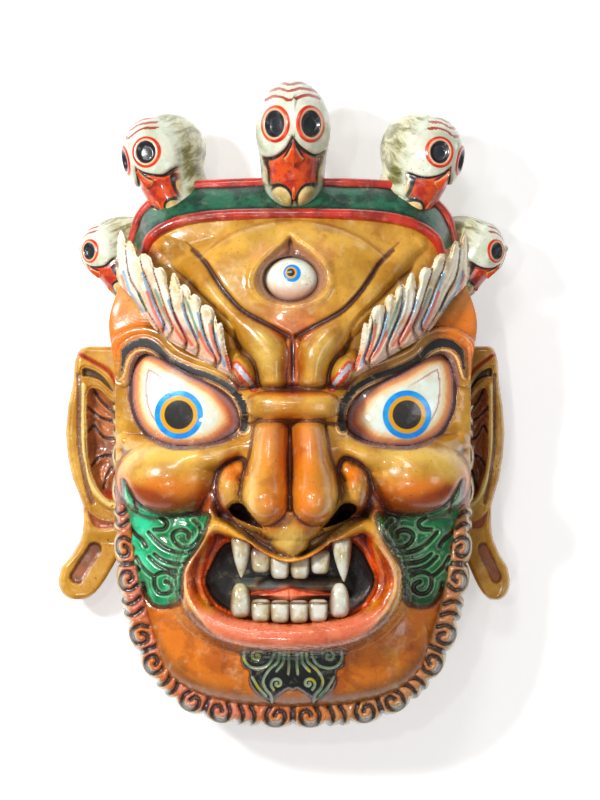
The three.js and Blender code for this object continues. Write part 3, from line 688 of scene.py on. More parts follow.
def lacquered(name, paint, crevice=0.0, patina=1.0, mottle=1.0, specks=1.0, waviness=1.0, coat=0.55, dull=0.0, above=0.0):
    """A glossy painted finish. paint builds the colour from a Shading helper."""
    material = bpy.data.materials.get(name)
    if material:
        return material
    material = bpy.data.materials.new(name)
    material.use_nodes = True
    tree = material.node_tree
    tree.nodes.clear()
    s = Shading(tree)
    shader = s.node("ShaderNodeBsdfPrincipled")
    s.feed(s.node("ShaderNodeOutputMaterial").inputs["Surface"], shader.outputs["BSDF"])
    aged = s.node("ShaderNodeGroup")
    aged.node_tree = aged_lacquer()
    s.feed(aged.inputs["Paint"], paint(s))
    sunk = s.value(crevice) if isinstance(crevice, str) else crevice
    if above:
        split = s.node("ShaderNodeSeparateXYZ")
        s.feed(split.inputs[0], s.place())
        sunk = s.math("MULTIPLY", sunk, s.step(split.outputs[2], above - 0.006, above))
    s.feed(aged.inputs["Crevice"], sunk)
    for key, value in (("Patina", patina), ("Mottle", mottle), ("Specks", specks), ("Waviness", waviness)):
        aged.inputs[key].default_value = value
    s.feed(shader.inputs["Base Color"], aged.outputs["Colour"])
    matt = s.value(dull) if isinstance(dull, str) else dull
    s.feed(shader.inputs["Roughness"], s.math("ADD", aged.outputs["Roughness"], s.math("MULTIPLY", matt, 0.30)))
    ridges = s.node("ShaderNodeBump")
    ridges.inputs["Strength"].default_value = 1.0
    ridges.inputs["Distance"].default_value = 0.0011
    s.feed(ridges.inputs["Height"], aged.outputs["Height"])
    s.feed(shader.inputs["Normal"], ridges.outputs["Normal"])
    s.feed(shader.inputs["Coat Weight"], s.math("MULTIPLY", s.math("SUBTRACT", 1.0, matt), coat))
    shader.inputs["Coat Roughness"].default_value = 0.08
    shader.inputs["Specular IOR Level"].default_value = 0.5
    return material


def face_paint(s):
    """Gold and orange flesh with painted lids, lips, leaves and tuft, all from distances kept on the mesh."""
    colour = s.mix(s.step(s.noise(30, 3, 0.55), 0.38, 0.60), GOLD, OCHRE)
    olive = s.math("MULTIPLY", s.step(s.noise(24, 4, 0.65), 0.50, 0.66), 0.45)
    colour = s.mix(olive, colour, rgb(150, 112, 44))
    # Painted highlights in pale gold on the crests of the forehead folds, the cheeks, the nose and the lips.
    colour = s.mix(s.math("MULTIPLY", s.value("bright"), 0.8, clamp=True), colour, BRIGHT)
    wobble = s.math("MULTIPLY", s.math("SUBTRACT", s.noise(45, 4, 0.6), 0.5), 0.5)
    orange = s.math("ADD", s.value("orange"), wobble)
    colour = s.mix(s.step(orange, 0.15, 0.95), colour, ORANGE)
    rust = s.math("ADD", s.value("rust"), wobble)
    colour = s.mix(s.math("MULTIPLY", s.step(rust, 0.2, 1.0), 0.9), colour, RUST)
    colour = s.mix(s.value("peach"), colour, PEACH)
    # The chin is blotched, with painted shade along its edge where it meets the beard.
    chin = s.value("low_lip")
    dark_blots = s.math("MULTIPLY", s.step(s.noise(52, 5, 0.7, 0.6), 0.50, 0.62), s.math("MULTIPLY", chin, 0.55))
    colour = s.mix(dark_blots, colour, rgb(158, 84, 36))
    light_blots = s.math("MULTIPLY", s.step(s.noise(36, 5, 0.7, 0.5), 0.54, 0.66), s.math("MULTIPLY", chin, 0.50))
    colour = s.mix(light_blots, colour, rgb(232, 168, 84))
    shade = s.math("ADD", s.value("near_beard"), s.math("MULTIPLY", s.math("SUBTRACT", s.noise(48, 4, 0.6), 0.5), 0.6))
    colour = s.mix(s.math("MULTIPLY", s.step(shade, 0.25, 1.0), 0.65), colour, rgb(112, 72, 34))
    # Thin orange-red edge on the forehead folds, beside the dark groove.
    low = s.value("furrow_low")
    edge = s.math("MULTIPLY", s.line(s.value("furrow"), 2.6, 1.8), low)
    colour = s.mix(s.math("MULTIPLY", edge, 0.8), colour, rgb(184, 86, 40))
    upper_line = s.math("MULTIPLY", s.line(s.value("furrow"), 0.7, 1.5), s.math("SUBTRACT", 1.0, low))
    lower_line = s.math("MULTIPLY", s.line(s.value("furrow"), 0.5, 0.8), low)
    dark = s.math("MULTIPLY", s.math("MAXIMUM", upper_line, lower_line), 0.85)
    colour = s.mix(dark, colour, rgb(92, 56, 54))
    red_side = s.line(s.math("SUBTRACT", s.value("knot_stripe"), 1.6), 1.5, 0.8)
    colour = s.mix(s.math("MULTIPLY", red_side, 0.85), colour, rgb(196, 56, 40))
    colour = s.mix(s.math("MULTIPLY", s.line(s.value("knot_stripe"), 0.9, 0.7), 0.8), colour, rgb(176, 196, 206))
    colour = s.mix(s.math("MULTIPLY", s.line(s.value("crease"), 0.8, 1.5), 0.75), colour, rgb(98, 60, 54))
    # Lip rim, lips and the dark cavity.
    rim = s.math("MULTIPLY", s.step(s.value("lip_out"), 0.8, -0.8), s.step(s.value("lip_in"), -0.6, 0.6))
    lower = s.step(s.value("low_lip"), 0.2, 0.85)
    blush = s.step(s.noise(70, 4, 0.6), 0.42, 0.62)
    lip = s.mix(s.value("lip_side"), rgb(222, 158, 66), s.mix(blush, rgb(206, 104, 44), rgb(160, 62, 26)))
    lip = s.mix(lower, lip, s.mix(s.math("MULTIPLY", blush, 0.5), SALMON, rgb(208, 96, 64)))
    cream = s.math("MULTIPLY", s.line(s.math("ADD", s.value("lip_out"), 1.4), 0.9, 1.0), s.value("lip_side"))
    lip = s.mix(s.math("MULTIPLY", cream, 0.75), lip, rgb(246, 206, 150))
    pale = s.math("MULTIPLY", s.step(s.value("lip_out"), -7.0, -1.0), lower)
    lip = s.mix(s.math("MULTIPLY", pale, 0.55), lip, rgb(232, 160, 128))
    colour = s.mix(rim, colour, lip)
    # Painted shade under the lower lip.
    under = s.math("MULTIPLY", s.line(s.math("SUBTRACT", s.value("lip_out"), 2.0), 1.6, 3.0), lower)
    colour = s.mix(s.math("MULTIPLY", under, 0.75), colour, rgb(104, 58, 46))
    flesh = s.mix(s.step(s.noise(60, 3, 0.6), 0.42, 0.60), rgb(226, 84, 42), rgb(178, 62, 28))
    colour = s.mix(s.math("MULTIPLY", s.step(s.value("lip_in"), 0.6, -0.6), s.step(s.value("mouth"), -1.5, 0.5)), colour, flesh)
    cavity = s.mix(s.step(s.noise(50), 0.4, 0.6), rgb(66, 64, 64), rgb(46, 44, 44))
    cavity = s.mix(s.value("throat"), cavity, rgb(26, 24, 24))
    colour = s.mix(s.step(s.value("mouth"), -0.3, -1.6), colour, cavity)
    colour = s.mix(s.step(s.value("nostril"), 0.2, -1.0), colour, rgb(46, 38, 34))
    # Green scroll leaves, brighter towards the ears, with painted shade on the right-hand leaf and a painted highlight
    # beside each carved curl.
    leaf = s.step(s.value("leaf"), 0.5, -0.3)
    inner_green = s.mix(s.step(s.noise(55, 3, 0.6), 0.38, 0.62), rgb(30, 134, 84), rgb(14, 76, 46))
    outer_green = s.mix(s.step(s.noise(48, 3, 0.6), 0.38, 0.62), rgb(70, 202, 150), rgb(32, 150, 96))
    towards = s.math("ADD", s.value("leaf_bright"), s.math("MULTIPLY", s.math("SUBTRACT", s.noise(40, 3, 0.6), 0.5), 0.6))
    green = s.mix(s.step(towards, 0.1, 0.8), inner_green, outer_green)
    shaded = s.mix(1.0, green, rgb(118, 168, 140), "MULTIPLY")
    # Painted shade on the right-hand leaf.
    green = s.mix(s.value("right"), green, shaded)
    # A painted highlight beside each carved curl.
    green = s.mix(s.math("MULTIPLY", s.line(s.math("SUBTRACT", s.value("scroll"), 2.5), 0.2, 0.6), 0.35), green, rgb(170, 214, 160))
    green = s.mix(s.math("MULTIPLY", s.line(s.value("scroll"), 0.75, 0.8), 0.92), green, rgb(12, 34, 22))
    green = s.mix(s.line(s.value("leaf_gap"), 1.1, 0.9), green, rgb(34, 26, 20))
    colour = s.mix(leaf, colour, green)
    colour = s.mix(s.math("MULTIPLY", s.line(s.math("SUBTRACT", s.value("leaf"), 0.8), 0.7, 0.8), 0.8), colour, rgb(52, 36, 30))
    # Black tuft with silvery green lines.
    silver = s.mix(s.step(s.noise(60, 3, 0.6), 0.42, 0.62), rgb(158, 168, 140), rgb(120, 150, 120))
    silver = s.mix(s.step(s.noise(75, 2, 0.5), 0.56, 0.66), silver, rgb(176, 170, 62))
    tuft = s.mix(s.line(s.value("hairs"), 0.75, 0.6), rgb(22, 24, 24), silver)
    colour = s.mix(s.step(s.value("tuft"), 0.5, -0.3), colour, tuft)
    # Lids: a black band between two cream lines, and a purple shadow inside.
    band = s.value("band")
    colour = s.mix(s.math("MULTIPLY", s.step(s.value("eye"), 3.2, 1.0), 0.8), colour, rgb(112, 84, 92))
    fine = s.math("MULTIPLY", s.line(s.math("SUBTRACT", band, 0.8), 0.45, 0.5), s.step(s.value("eye"), 8.5, 6.5))
    colour = s.mix(fine, colour, rgb(238, 190, 130))
    colour = s.mix(s.step(band, 0.3, -0.3), colour, INK)
    # Painted shade on the floor of the eye opening, where the eyeball sinks below it.
    colour = s.mix(s.step(s.value("eye"), 0.3, -0.9), colour, rgb(60, 36, 36))
    # The sunk rim of the third eye is painted darker inside, as shade in its socket, darkest near the ball.
    colour = s.mix(s.math("MULTIPLY", s.step(s.value("third"), 0.5, -3.5), 0.8), colour, rgb(150, 96, 78))
    colour = s.mix(s.math("MULTIPLY", s.step(s.value("third"), -5.0, -8.5), 0.8), colour, rgb(104, 68, 58))
    # The side wall behind the beard and the ears is plain ochre, darker towards the rim with a ragged border.
    split = s.node("ShaderNodeSeparateXYZ")
    s.feed(split.inputs[0], s.place())
    ragged = s.math("MULTIPLY", s.math("SUBTRACT", s.noise(30, 4, 0.6), 0.5), 0.012)
    depth = s.math("ADD", split.outputs[2], ragged)
    wall = s.mix(s.step(s.noise(26, 4, 0.6), 0.40, 0.62), rgb(176, 112, 52), rgb(140, 84, 42))
    wall = s.mix(s.math("MULTIPLY", s.step(depth, 0.030, 0.008), 0.8), wall, rgb(88, 56, 38))
    return s.mix(s.step(depth, 0.058, 0.052), colour, wall)


def airbrush(patches, x, y):
    """Soft oval patches added up, for paint, painted highlights and painted shade: middle, half sizes, turn in degrees
    and strength.
    """
    total = np.zeros(x.shape)
    for cx, cy, wide, tall, turn, strength in patches:
        cos, sin = math.cos(math.radians(turn)), math.sin(math.radians(turn))
        u = ((x - cx) * cos + (y - cy) * sin) / wide
        v = ((y - cy) * cos - (x - cx) * sin) / tall
        total += strength * np.exp(-(u * u + v * v) ** 1.3)
    return np.clip(total, 0, 1.2)


# Where the airbrushed colours, the painted highlights and the painted shade lie on the positive half: middle, half
# sizes, turn, strength.
ORANGE_PATCHES = [
    (0, -38, 36, 44, 0, 0.75), (0, 64, 34, 13, 0, 0.45), (138, 60, 22, 36, 0, 1.0), (0, -200, 130, 46, 0, 1.05),
    (118, -170, 34, 50, 0, 0.9), (96, -70, 46, 18, 0, 0.9), (0, 8, 38, 3, 0, 0.7), (133, -110, 7, 70, 0, 0.9),
    (46, -50, 10, 10, 0, 0.8), (20, -92, 16, 8, 0, 0.3), (118, 52, 14, 16, 0, 0.5), (12, -80, 14, 14, 0, 0.5),
    (8, 56, 10, 12, 0, 0.5), (112, 122, 14, 14, 0, 0.6),
]
# Rust-red paint; the long patch low on the chin, by the beard, is painted shade.
RUST_AND_SHADE_PATCHES = [
    (94, -80, 44, 13, 0, 1.0), (62, -64, 14, 16, 0, 0.6), (120, -72, 18, 14, 0, 0.9), (0, -92, 40, 6, 0, 0.25),
    (84, -176, 22, 16, -30, 0.45), (132, -130, 8, 60, 0, 0.4), (0, -238, 100, 10, 0, 0.6), (46, -84, 14, 6, 30, 0.5),
    (142, 50, 8, 30, 0, 0.5), (0, 58, 24, 8, 0, 0.45), (4, 26, 8, 24, 0, 0.8), (3, -30, 8, 30, 0, 0.5),
    (22, 10, 18, 4, 0, 0.4), (10, -86, 12, 6, 0, 0.6), (40, 17, 6, 8, 30, 1.2), (46, -44, 10, 5, 0, 0.5),
]
# Painted highlights, in pale gold.
PAINTED_HIGHLIGHT_PATCHES = [
    (22, 42, 9, 16, 0, 0.8), (0, 128, 80, 12, 0, 0.25), (92, -38, 34, 7, 0, 0.9), (34, -68, 7, 12, 0, 0.7),
    (51, -66, 5, 11, 0, 0.6), (63, -90, 5, 14, 8, 1.0), (8, 3, 18, 3, 0, 0.35), (58, 84, 8, 26, 45, 0.4),
    (0, -104, 16, 9, 0, 0.8), (118, -50, 14, 12, 0, 0.6), (26, -30, 5, 12, 0, 0.5),
]
PEACH_PATCHES = [
    (0, 62, 20, 7, 0, 0.5), (14, -24, 8, 14, 0, 0.35), (22, -74, 9, 7, 0, 0.2), (130, 84, 10, 12, 0, 0.4),
    (24, 116, 9, 7, -50, 0.4), (0, 73, 26, 5, 0, 0.4),
]


def face_values(points, field):
    """The distances and patches that the face's paint reads."""
    x, y = points[:, 0], points[:, 1]
    ax = np.abs(x)
    share = np.hypot(x, y - WIDEST_Y) / head_radius(np.arctan2(y - WIDEST_Y, x))
    return {
        # Where painted shade lies along the chin's edge by the beard.
        "near_beard": smooth_step(0.83, 0.93, share) * smooth_step(-90, -150, y),
        "crevice": field.sample(field.crevice, x, y) * (1 - 0.7 * smooth_step(-150, -166, y)),
        "orange": airbrush(ORANGE_PATCHES, ax, y),
        "rust": airbrush(RUST_AND_SHADE_PATCHES, ax, y),
        # Painted highlights.
        "bright": airbrush(PAINTED_HIGHLIGHT_PATCHES, ax, y),
        "peach": airbrush(PEACH_PATCHES, ax, y),
        "furrow": lines_distance([FOREHEAD_GROOVE], ax, y, reach=14, samples=70),
        "furrow_low": smooth_step(62, 46, y),
        "knot_stripe": lines_distance([KNOT_STRIPE], ax, y, reach=10),
        "crease": lines_distance([WING_LINE, NOSE_CREASE], ax, y, reach=10, samples=60),
        "lip_out": outline_distance(mirrored_outline(LIP_OUTER), x - MOUTH_X, y, 160, 20),
        "lip_in": outline_distance(mirrored_outline(LIP_INNER), x - MOUTH_X, y, 160, 20),
        "low_lip": smooth_step(-146, -166, y),
        "lip_side": smooth_step(58, 70, np.abs(x - MOUTH_X)) * smooth_step(-98, -110, y),
        "mouth": outline_distance(mirrored_outline(MOUTH_EDGE), x - MOUTH_X, y, 160, 20),
        "throat": smooth_step(56, 38, np.abs(x - MOUTH_X)),
        "nostril": outline_distance(NOSTRIL, ax, y, 60, 12),
        "leaf": outline_distance(SCROLL_LEAF, ax, y, 90, 12),
        "scroll": lines_distance(LEAF_LINES, ax, y),
        "leaf_gap": lines_distance(LEAF_GAPS, ax, y),
        "leaf_bright": np.clip((ax - 82) / 40, 0, 1),
        "tuft": outline_distance(mirrored_outline(TUFT), x, y, 90, 12),
        "hairs": lines_distance(TUFT_LINES, ax, y),
        "band": outline_distance(LID_OUTER + LID_INNER, ax, y, 160, 14),
        "eye": outline_distance(EYE_OPENING, ax, y, 100, 14),
        "third": outline_distance(THIRD_RIM, x + 1.8, y, 90, 14),
        "right": smooth_step(-20, 60, x),
        "dull": np.maximum(
            smooth_step(1.0, -0.5, outline_distance(LID_OUTER + LID_INNER, ax, y, 160, 14)),
            0.8 * smooth_step(0.5, -1.0, outline_distance(mirrored_outline(MOUTH_EDGE), x - MOUTH_X, y, 160, 20)),
        ),
    }


def old_wood(s):
    """Bare dark wood on the hidden back."""
    place = s.node("ShaderNodeMapping")
    s.feed(place.inputs["Vector"], s.place())
    place.inputs["Scale"].default_value = (9, 1.2, 9)
    rings = s.noise(22, 5, 0.6, 1.2, place.outputs["Vector"])
    return s.mix(s.step(rings, 0.35, 0.65), rgb(124, 84, 52), rgb(78, 50, 32))


def build_face(step, share):
    """The carved block: the face, its side wall, its flat back rim and the hollow behind it."""
    field = HeightField(step)
    across = int(2 * HALF_WIDTH / step) + 1
    up = int((CROWN_Y - CHIN_Y) / step) + 1
    u, v = np.meshgrid(np.linspace(-1, 1, across), np.linspace(-1, 1, up))
    reach = np.where(v >= 0, CROWN_Y - WIDEST_Y, WIDEST_Y - CHIN_Y)
    dx, dy = u * HALF_WIDTH, v * reach
    most = np.maximum(np.maximum(np.abs(u), np.abs(v)), 1e-6)
    length = np.hypot(dx, dy) + 1e-9
    pull = 1 + (head_radius(np.arctan2(dy, dx)) * most / length - 1) * most**3
    x, y = dx * pull, WIDEST_Y + dy * pull
    z = field.sample(field.height, x, y)
    top = np.stack([x, y, np.maximum(z, EDGE_Z)], -1).reshape(-1, 3)
    index = np.arange(across * up).reshape(up, across)
    edge = np.concatenate([index[0, :-1], index[:-1, -1], index[-1, :0:-1], index[:0:-1, 0]])
    loop = top[edge]
    angle = np.arctan2(loop[:, 1] - WIDEST_Y, loop[:, 0])

    def ring(share_out, height, grow):
        radius = head_radius(angle, grow) * share_out
        return np.stack([radius * np.cos(angle), WIDEST_Y + radius * np.sin(angle), np.full(len(angle), height)], -1)

    inset = -RIM_TAPER - RIM_WIDTH
    rings = [ring(1, 48, -0.6), ring(1, 30, -1.8), ring(1, 12, -3.0), ring(1, 2.0, -RIM_TAPER), ring(1, 0, -RIM_TAPER - 1.5)]
    rings += [ring(1, 0, inset + 1.5), ring(1, 2.0, inset)]
    for level in (0.3, 0.5, 0.66, 0.8, 0.9, 0.96):
        rings.append(ring((1 - level**3.2) ** (1 / 2.4), level * HOLLOW_Z, inset))
    rings.append(ring(0.3, 0.99 * HOLLOW_Z, inset))
    rings.append(ring(0.02, HOLLOW_Z, inset))
    points = np.vstack([top] + rings)
    faces = [grid_faces(up, across)]
    count = len(edge)
    previous = edge
    for k in range(len(rings)):
        current = len(top) + k * count + np.arange(count)
        faces.append(np.stack([previous, current, np.roll(current, -1), np.roll(previous, -1)], -1))
        previous = current
    all_faces = np.vstack(faces).tolist()
    all_faces.append(previous[::-1].tolist())
    mesh = new_mesh("face_carving", points, all_faces)
    if share < 1:
        mesh = thinned(mesh, share)
    places = mask_points(mesh)
    set_values(mesh, face_values(places, field))
    # The temples swell out past the plain outline, in front of the ears.
    swell = 6.5 * np.exp(-(((places[:, 1] - 63) / 25) ** 2)) * smooth_step(112, 133, np.abs(places[:, 0]))
    places[:, 0] += np.sign(places[:, 0]) * swell * smooth_step(6, 56, places[:, 2])
    mesh.vertices.foreach_set("co", ((places + [MIDDLE_X, 0, 0]) * MM).ravel())
    mesh.update()
    paint = lacquered("Face paint", face_paint, crevice="crevice", patina=0.75, mottle=1.5, waviness=0.8, dull="dull", above=0.060)
    bare = lacquered("Old wood", old_wood, coat=0.0, specks=0.4, mottle=0.5, waviness=0.3)
    piece = place_piece("face_carving", mesh, "face_paint", ["face"], paint, bare)
    centres = np.zeros(len(mesh.polygons) * 3)
    mesh.polygons.foreach_get("center", centres)
    normals = np.zeros(len(mesh.polygons) * 3)
    mesh.polygons.foreach_get("normal", normals)
    centres = centres.reshape(-1, 3) / MM
    normals = normals.reshape(-1, 3)
    behind = (centres[:, 2] < 30) | ((normals[:, 2] < -0.2) & (centres[:, 2] < HOLLOW_Z + 1) & (
        np.hypot(centres[:, 0] - MIDDLE_X, centres[:, 1] - WIDEST_Y) < head_radius(
            np.arctan2(centres[:, 1] - WIDEST_Y, centres[:, 0] - MIDDLE_X), inset) + 2))
    mesh.polygons.foreach_set("material_index", behind.astype(np.int32))
    return piece, field


def eyeball_paint(s):
    """White eye with a blue, yellow and black iris, ringed by cream and red-orange at its lids, with dusky purple and a
    dark edge of painted shade where the lids meet it.
    """
    split = s.node("ShaderNodeSeparateXYZ")
    s.feed(split.inputs[0], s.vector("local"))
    x, y = split.outputs[0], split.outputs[1]
    wobble = s.math("MULTIPLY", s.math("SUBTRACT", s.noise(42, 4, 0.6), 0.5), 4.0)
    depth = s.math("ADD", s.value("inward"), s.math("MULTIPLY", wobble, s.step(s.value("inward"), 1.0, 6.0)))
    nose_side = s.step(x, 66, 46)
    ring_width = s.math("ADD", 0.85, s.math("MULTIPLY", nose_side, 1.2))
    depth = s.math("DIVIDE", depth, ring_width)
    colour = s.mix(s.step(s.noise(60, 4, 0.6), 0.40, 0.65), EYE_WHITE, rgb(226, 226, 204))
    colour = s.mix(s.step(depth, 13, 8.5), colour, rgb(240, 214, 168))
    colour = s.mix(s.math("MULTIPLY", s.step(depth, 9.0, 5.0), 0.8), colour, rgb(216, 128, 74))
    colour = s.mix(s.math("MULTIPLY", s.step(depth, 6.0, 3.0), s.math("ADD", 0.25, s.math("MULTIPLY", nose_side, 0.65))), colour, rgb(168, 70, 40))
    # Painted shade where the lids overhang the eyeball: a dusky purple ring and a dark edge.
    colour = s.mix(s.math("MULTIPLY", s.step(depth, 3.6, 1.8), 0.9), colour, rgb(150, 112, 112))
    colour = s.mix(s.step(depth, 1.6, 0.0), colour, rgb(84, 54, 50))
    vein = s.math("MULTIPLY", s.line(s.math("SUBTRACT", s.value("inward"), 11.5), 0.3, 0.6), s.step(x, 84, 100))
    colour = s.mix(s.math("MULTIPLY", vein, 0.7), colour, rgb(196, 78, 56))
    iris_x = s.math("SUBTRACT", x, 86.8)
    iris_y = s.math("ADD", y, 8.2)
    radius = s.math("SQRT", s.math("ADD", s.math("MULTIPLY", iris_x, iris_x), s.math("MULTIPLY", iris_y, iris_y)))
    colour = s.mix(s.step(radius, 19.0, 18.2), colour, s.mix(s.step(s.noise(120), 0.4, 0.6), EYE_BLUE, rgb(40, 164, 236)))
    colour = s.mix(s.step(radius, 14.6, 13.9), colour, EYE_YELLOW)
    return s.mix(s.step(radius, 11.4, 10.7), colour, rgb(44, 42, 40))


def third_eye_paint(s):
    split = s.node("ShaderNodeSeparateXYZ")
    s.feed(split.inputs[0], s.vector("local"))
    x, y = split.outputs[0], split.outputs[1]

    def ring(cx, cy):
        dx, dy = s.math("SUBTRACT", x, cx), s.math("SUBTRACT", y, cy)
        return s.math("SQRT", s.math("ADD", s.math("MULTIPLY", dx, dx), s.math("MULTIPLY", dy, dy)))

    colour = s.mix(s.step(s.noise(80, 4, 0.6), 0.40, 0.62), EYE_WHITE, rgb(228, 226, 200))
    colour = s.mix(s.math("MULTIPLY", s.step(y, 95, 82), 0.8), colour, rgb(220, 166, 140))
    edge = s.math("ADD", s.math("POWER", s.math("DIVIDE", x, 21.5), 2.0), s.math("POWER", s.math("DIVIDE", s.math("SUBTRACT", y, 94.5), 18), 2.0))
    # A brown ring of painted shade round the ball's edge, where it sinks into its socket.
    colour = s.mix(s.math("MULTIPLY", s.step(edge, 0.62, 0.95), 0.6), colour, rgb(150, 104, 70))
    colour = s.mix(s.step(ring(-0.6, 99.2), 7.0, 6.4), colour, EYE_BLUE)
    colour = s.mix(s.step(ring(-1.4, 99.6), 4.6, 4.1), colour, EYE_YELLOW)
    return s.mix(s.step(ring(-1.6, 99.8), 3.3, 2.8), colour, INK)


def build_eyeballs():
    """The two eyeballs in their lids and the small upright one on the forehead."""
    for side, name in ((-1, "eyeball_left"), (1, "eyeball_right")):
        u, v = np.meshgrid(np.linspace(34, 129, 110), np.linspace(-38, 50, 100))
        q = ((u - 84) / 54) ** 2 + ((v - 2) / 47) ** 2
        z = 116 - 0.20 * (u - 84) - 27 * (1 - np.sqrt(np.clip(1 - q, 0.02, 1)))
        points = np.stack([side * u, v, z], -1).reshape(-1, 3)
        faces = grid_faces(100, 110)
        mesh = new_mesh(name, points, faces if side > 0 else faces[:, ::-1])
        keep = outline_distance(EYE_OPENING, u, v, reach=20).ravel() < 1.4
        trim(mesh, keep)
        local = mask_points(mesh)
        local[:, 0] = np.abs(local[:, 0])
        set_values(mesh, {"local": local, "inward": -outline_distance(EYE_OPENING, local[:, 0], local[:, 1], reach=30)})
        paint = lacquered("Eye paint", eyeball_paint, mottle=0.3, specks=0.5, waviness=0.5)
        place_piece(name, mesh, "face_paint", [], paint)
    rings, sides = 26, 64
    angle = np.arange(sides) / sides * 2 * math.pi
    points = []
    for r in np.sin(np.linspace(0.02, math.pi / 2, rings)):
        z = 109 + 15.5 * math.sqrt(max(0, 1 - r * r)) + 0 * angle
        points.append(np.stack([21.0 * r * np.cos(angle) - 1.5, 94.5 + 17.3 * r * np.sin(angle), z], -1))
    mesh = new_mesh("third_eyeball", np.vstack(points), np.vstack([grid_faces(rings, sides, wrap=True)]).tolist() + [list(range(sides - 1, -1, -1))])
    mesh.flip_normals()
    set_values(mesh, {"local": mask_points(mesh)})
    place_piece("third_eyeball", mesh, "face_paint", [], lacquered("Third eye paint", third_eye_paint, mottle=0.3, waviness=0.4))


def trim(mesh, keep):
    """Removes the faces with a vertex that isn't kept."""
    work = bmesh.new()
    work.from_mesh(mesh)
    work.verts.ensure_lookup_table()
    bmesh.ops.delete(work, geom=[vert for vert, kept in zip(work.verts, keep) if not kept], context="VERTS")
    work.to_mesh(mesh)
    work.free()
    mesh.polygons.foreach_set("use_smooth", [True] * len(mesh.polygons))


def relief_piece(name, spacing, low, high, height, depth, side=1):
    """A carved piece from its height over a rectangle: kept where it stands above its own floor, then given
    walls and a back. height gives the top and the floor under it for each place."""
    columns = int((high[0] - low[0]) / spacing) + 1
    rows = int((high[1] - low[1]) / spacing) + 1
    x, y = np.meshgrid(np.linspace(low[0], high[0], columns), np.linspace(low[1], high[1], rows))
    top, floor = height(x, y)
    points = np.stack([side * x, y, np.maximum(top, floor)], -1).reshape(-1, 3)
    faces = grid_faces(rows, columns)
    mesh = new_mesh(name, points, faces if side > 0 else faces[:, ::-1])
    trim(mesh, (top > floor - 0.4).ravel())
    work = bmesh.new()
    work.from_mesh(mesh)
    rim = [edge for edge in work.edges if edge.is_boundary]
    walls = bmesh.ops.extrude_edge_only(work, edges=rim)["geom"]
    for vert in walls:
        if isinstance(vert, bmesh.types.BMVert):
            vert.co.z -= depth * MM
    bmesh.ops.holes_fill(work, edges=[edge for edge in work.edges if edge.is_boundary], sides=0)
    bmesh.ops.recalc_face_normals(work, faces=work.faces)
    work.to_mesh(mesh)
    work.free()
    mesh.polygons.foreach_set("use_smooth", [True] * len(mesh.polygons))
    return mesh


# Each brow is one leaf of broad locks: its outline, then each lock's middle line from its tip to its root.
BROW_EDGE = [
    (46.6, 21.5), (63.4, 30.8), (79.1, 40.1), (99.6, 52.2), (111.7, 67), (120, 79.1), (126.5, 85.6), (132.1, 92),
    (134.6, 99.5), (132.4, 105.5), (134, 114), (133.2, 124), (131.2, 131.6), (128.6, 126), (127.4, 120.5),
    (124.4, 123.5), (121.4, 119.5), (119.8, 113), (117.5, 110.6), (113.6, 113.6), (108.6, 110.6), (106.6, 104.6),
    (103.8, 102), (99.4, 102.6), (96.2, 97.5), (95.6, 90.5), (93.4, 86), (92.2, 91), (90.4, 98.6), (87, 94),
    (85.4, 88), (82.2, 89.8), (78.4, 86), (77.4, 79.6), (74.6, 82.4), (70.6, 79.4), (69, 72.6), (66, 74.2),
    (61.4, 72), (58.8, 65.6), (57.2, 59.4), (54.2, 60.6), (52.6, 52.5), (51.6, 44), (50, 37.3), (47.6, 28.1),
]
BROW_LOCKS = [
    [(131.2, 131.1), (132.1, 111.6), (130.3, 93), (123.8, 81.9), (116.3, 69.8), (107, 57.7)],
    [(122.4, 121.5), (120, 104.2), (112.6, 89.3), (107, 74.5), (100.5, 61.4)],
    [(110.5, 111), (107.5, 98), (103.5, 86.5), (98.5, 72.5), (93, 58.5)],
    [(102.2, 102.3), (99.2, 88.4), (95.5, 74.5), (89.9, 60.5), (83.6, 48.4)],
    [(89.4, 97.7), (88.4, 83.7), (86.6, 69.8), (81, 57.7), (75.4, 44.7)],
    [(76.4, 86.7), (75.6, 69.8), (71.9, 57.7), (66.2, 43.8), (60.6, 34.5)],
    [(63.5, 71.5), (64, 58), (60.8, 46), (55.8, 35)],
    [(55.7, 63.5), (55.8, 50.9), (53.8, 39.9), (50.3, 28)],
]
BLUE_STROKES = [
    [(129.3, 100.8), (123.8, 84.7), (114.5, 70.7)], [(114.5, 98.8), (108, 81.9), (102.4, 68), (95.9, 56.6)],
    [(94, 78), (88.4, 64.2), (81, 52.9)], [(71.9, 68.4), (67.4, 52.4), (60.7, 39.1)],
    [(58.7, 52.4), (55, 38.3), (51.2, 28.9)], [(83.5, 76), (79.5, 62), (72.5, 49.5)],
]
RED_STROKES = [
    [(131.2, 97.8), (126.1, 81.9), (118, 69)], [(110.7, 84.7), (105.2, 69.4), (99, 56.6)],
    [(97.9, 72.9), (90.4, 58.9), (81, 45.5)], [(89.4, 68), (83.8, 55.8), (76.3, 44.5)],
    [(70.9, 54.2), (65.2, 41.9), (57.8, 33.5)], [(50.4, 36.6), (47.6, 26.2)], [(62.5, 60), (60.5, 48), (55.5, 36)],
]
GREEN_STROKES = [
    [(117.3, 83.9), (111.7, 70.7)], [(104.3, 86.7), (98.2, 70.8), (91.2, 57.6)],
    [(81, 80.2), (75.9, 65.2), (70.6, 51.1)], [(61.5, 62.6), (58.7, 46.6)],
]


def brow_level(x, y):
    """The height that a brow's locks lie on, from its root line up to its crest."""
    place = np.array([38, 62, 90, 116, 133])
    root_y, root_z = np.interp(x, place, [20, 34, 51, 78, 104]), np.interp(x, place, [137, 135, 126, 111, 95])
    crest_z = np.interp(x, place, [146, 143, 134, 120, 106])
    share = np.clip((y - root_y) / 34, -0.3, 1.1)
    return root_z + (crest_z - root_z) * share


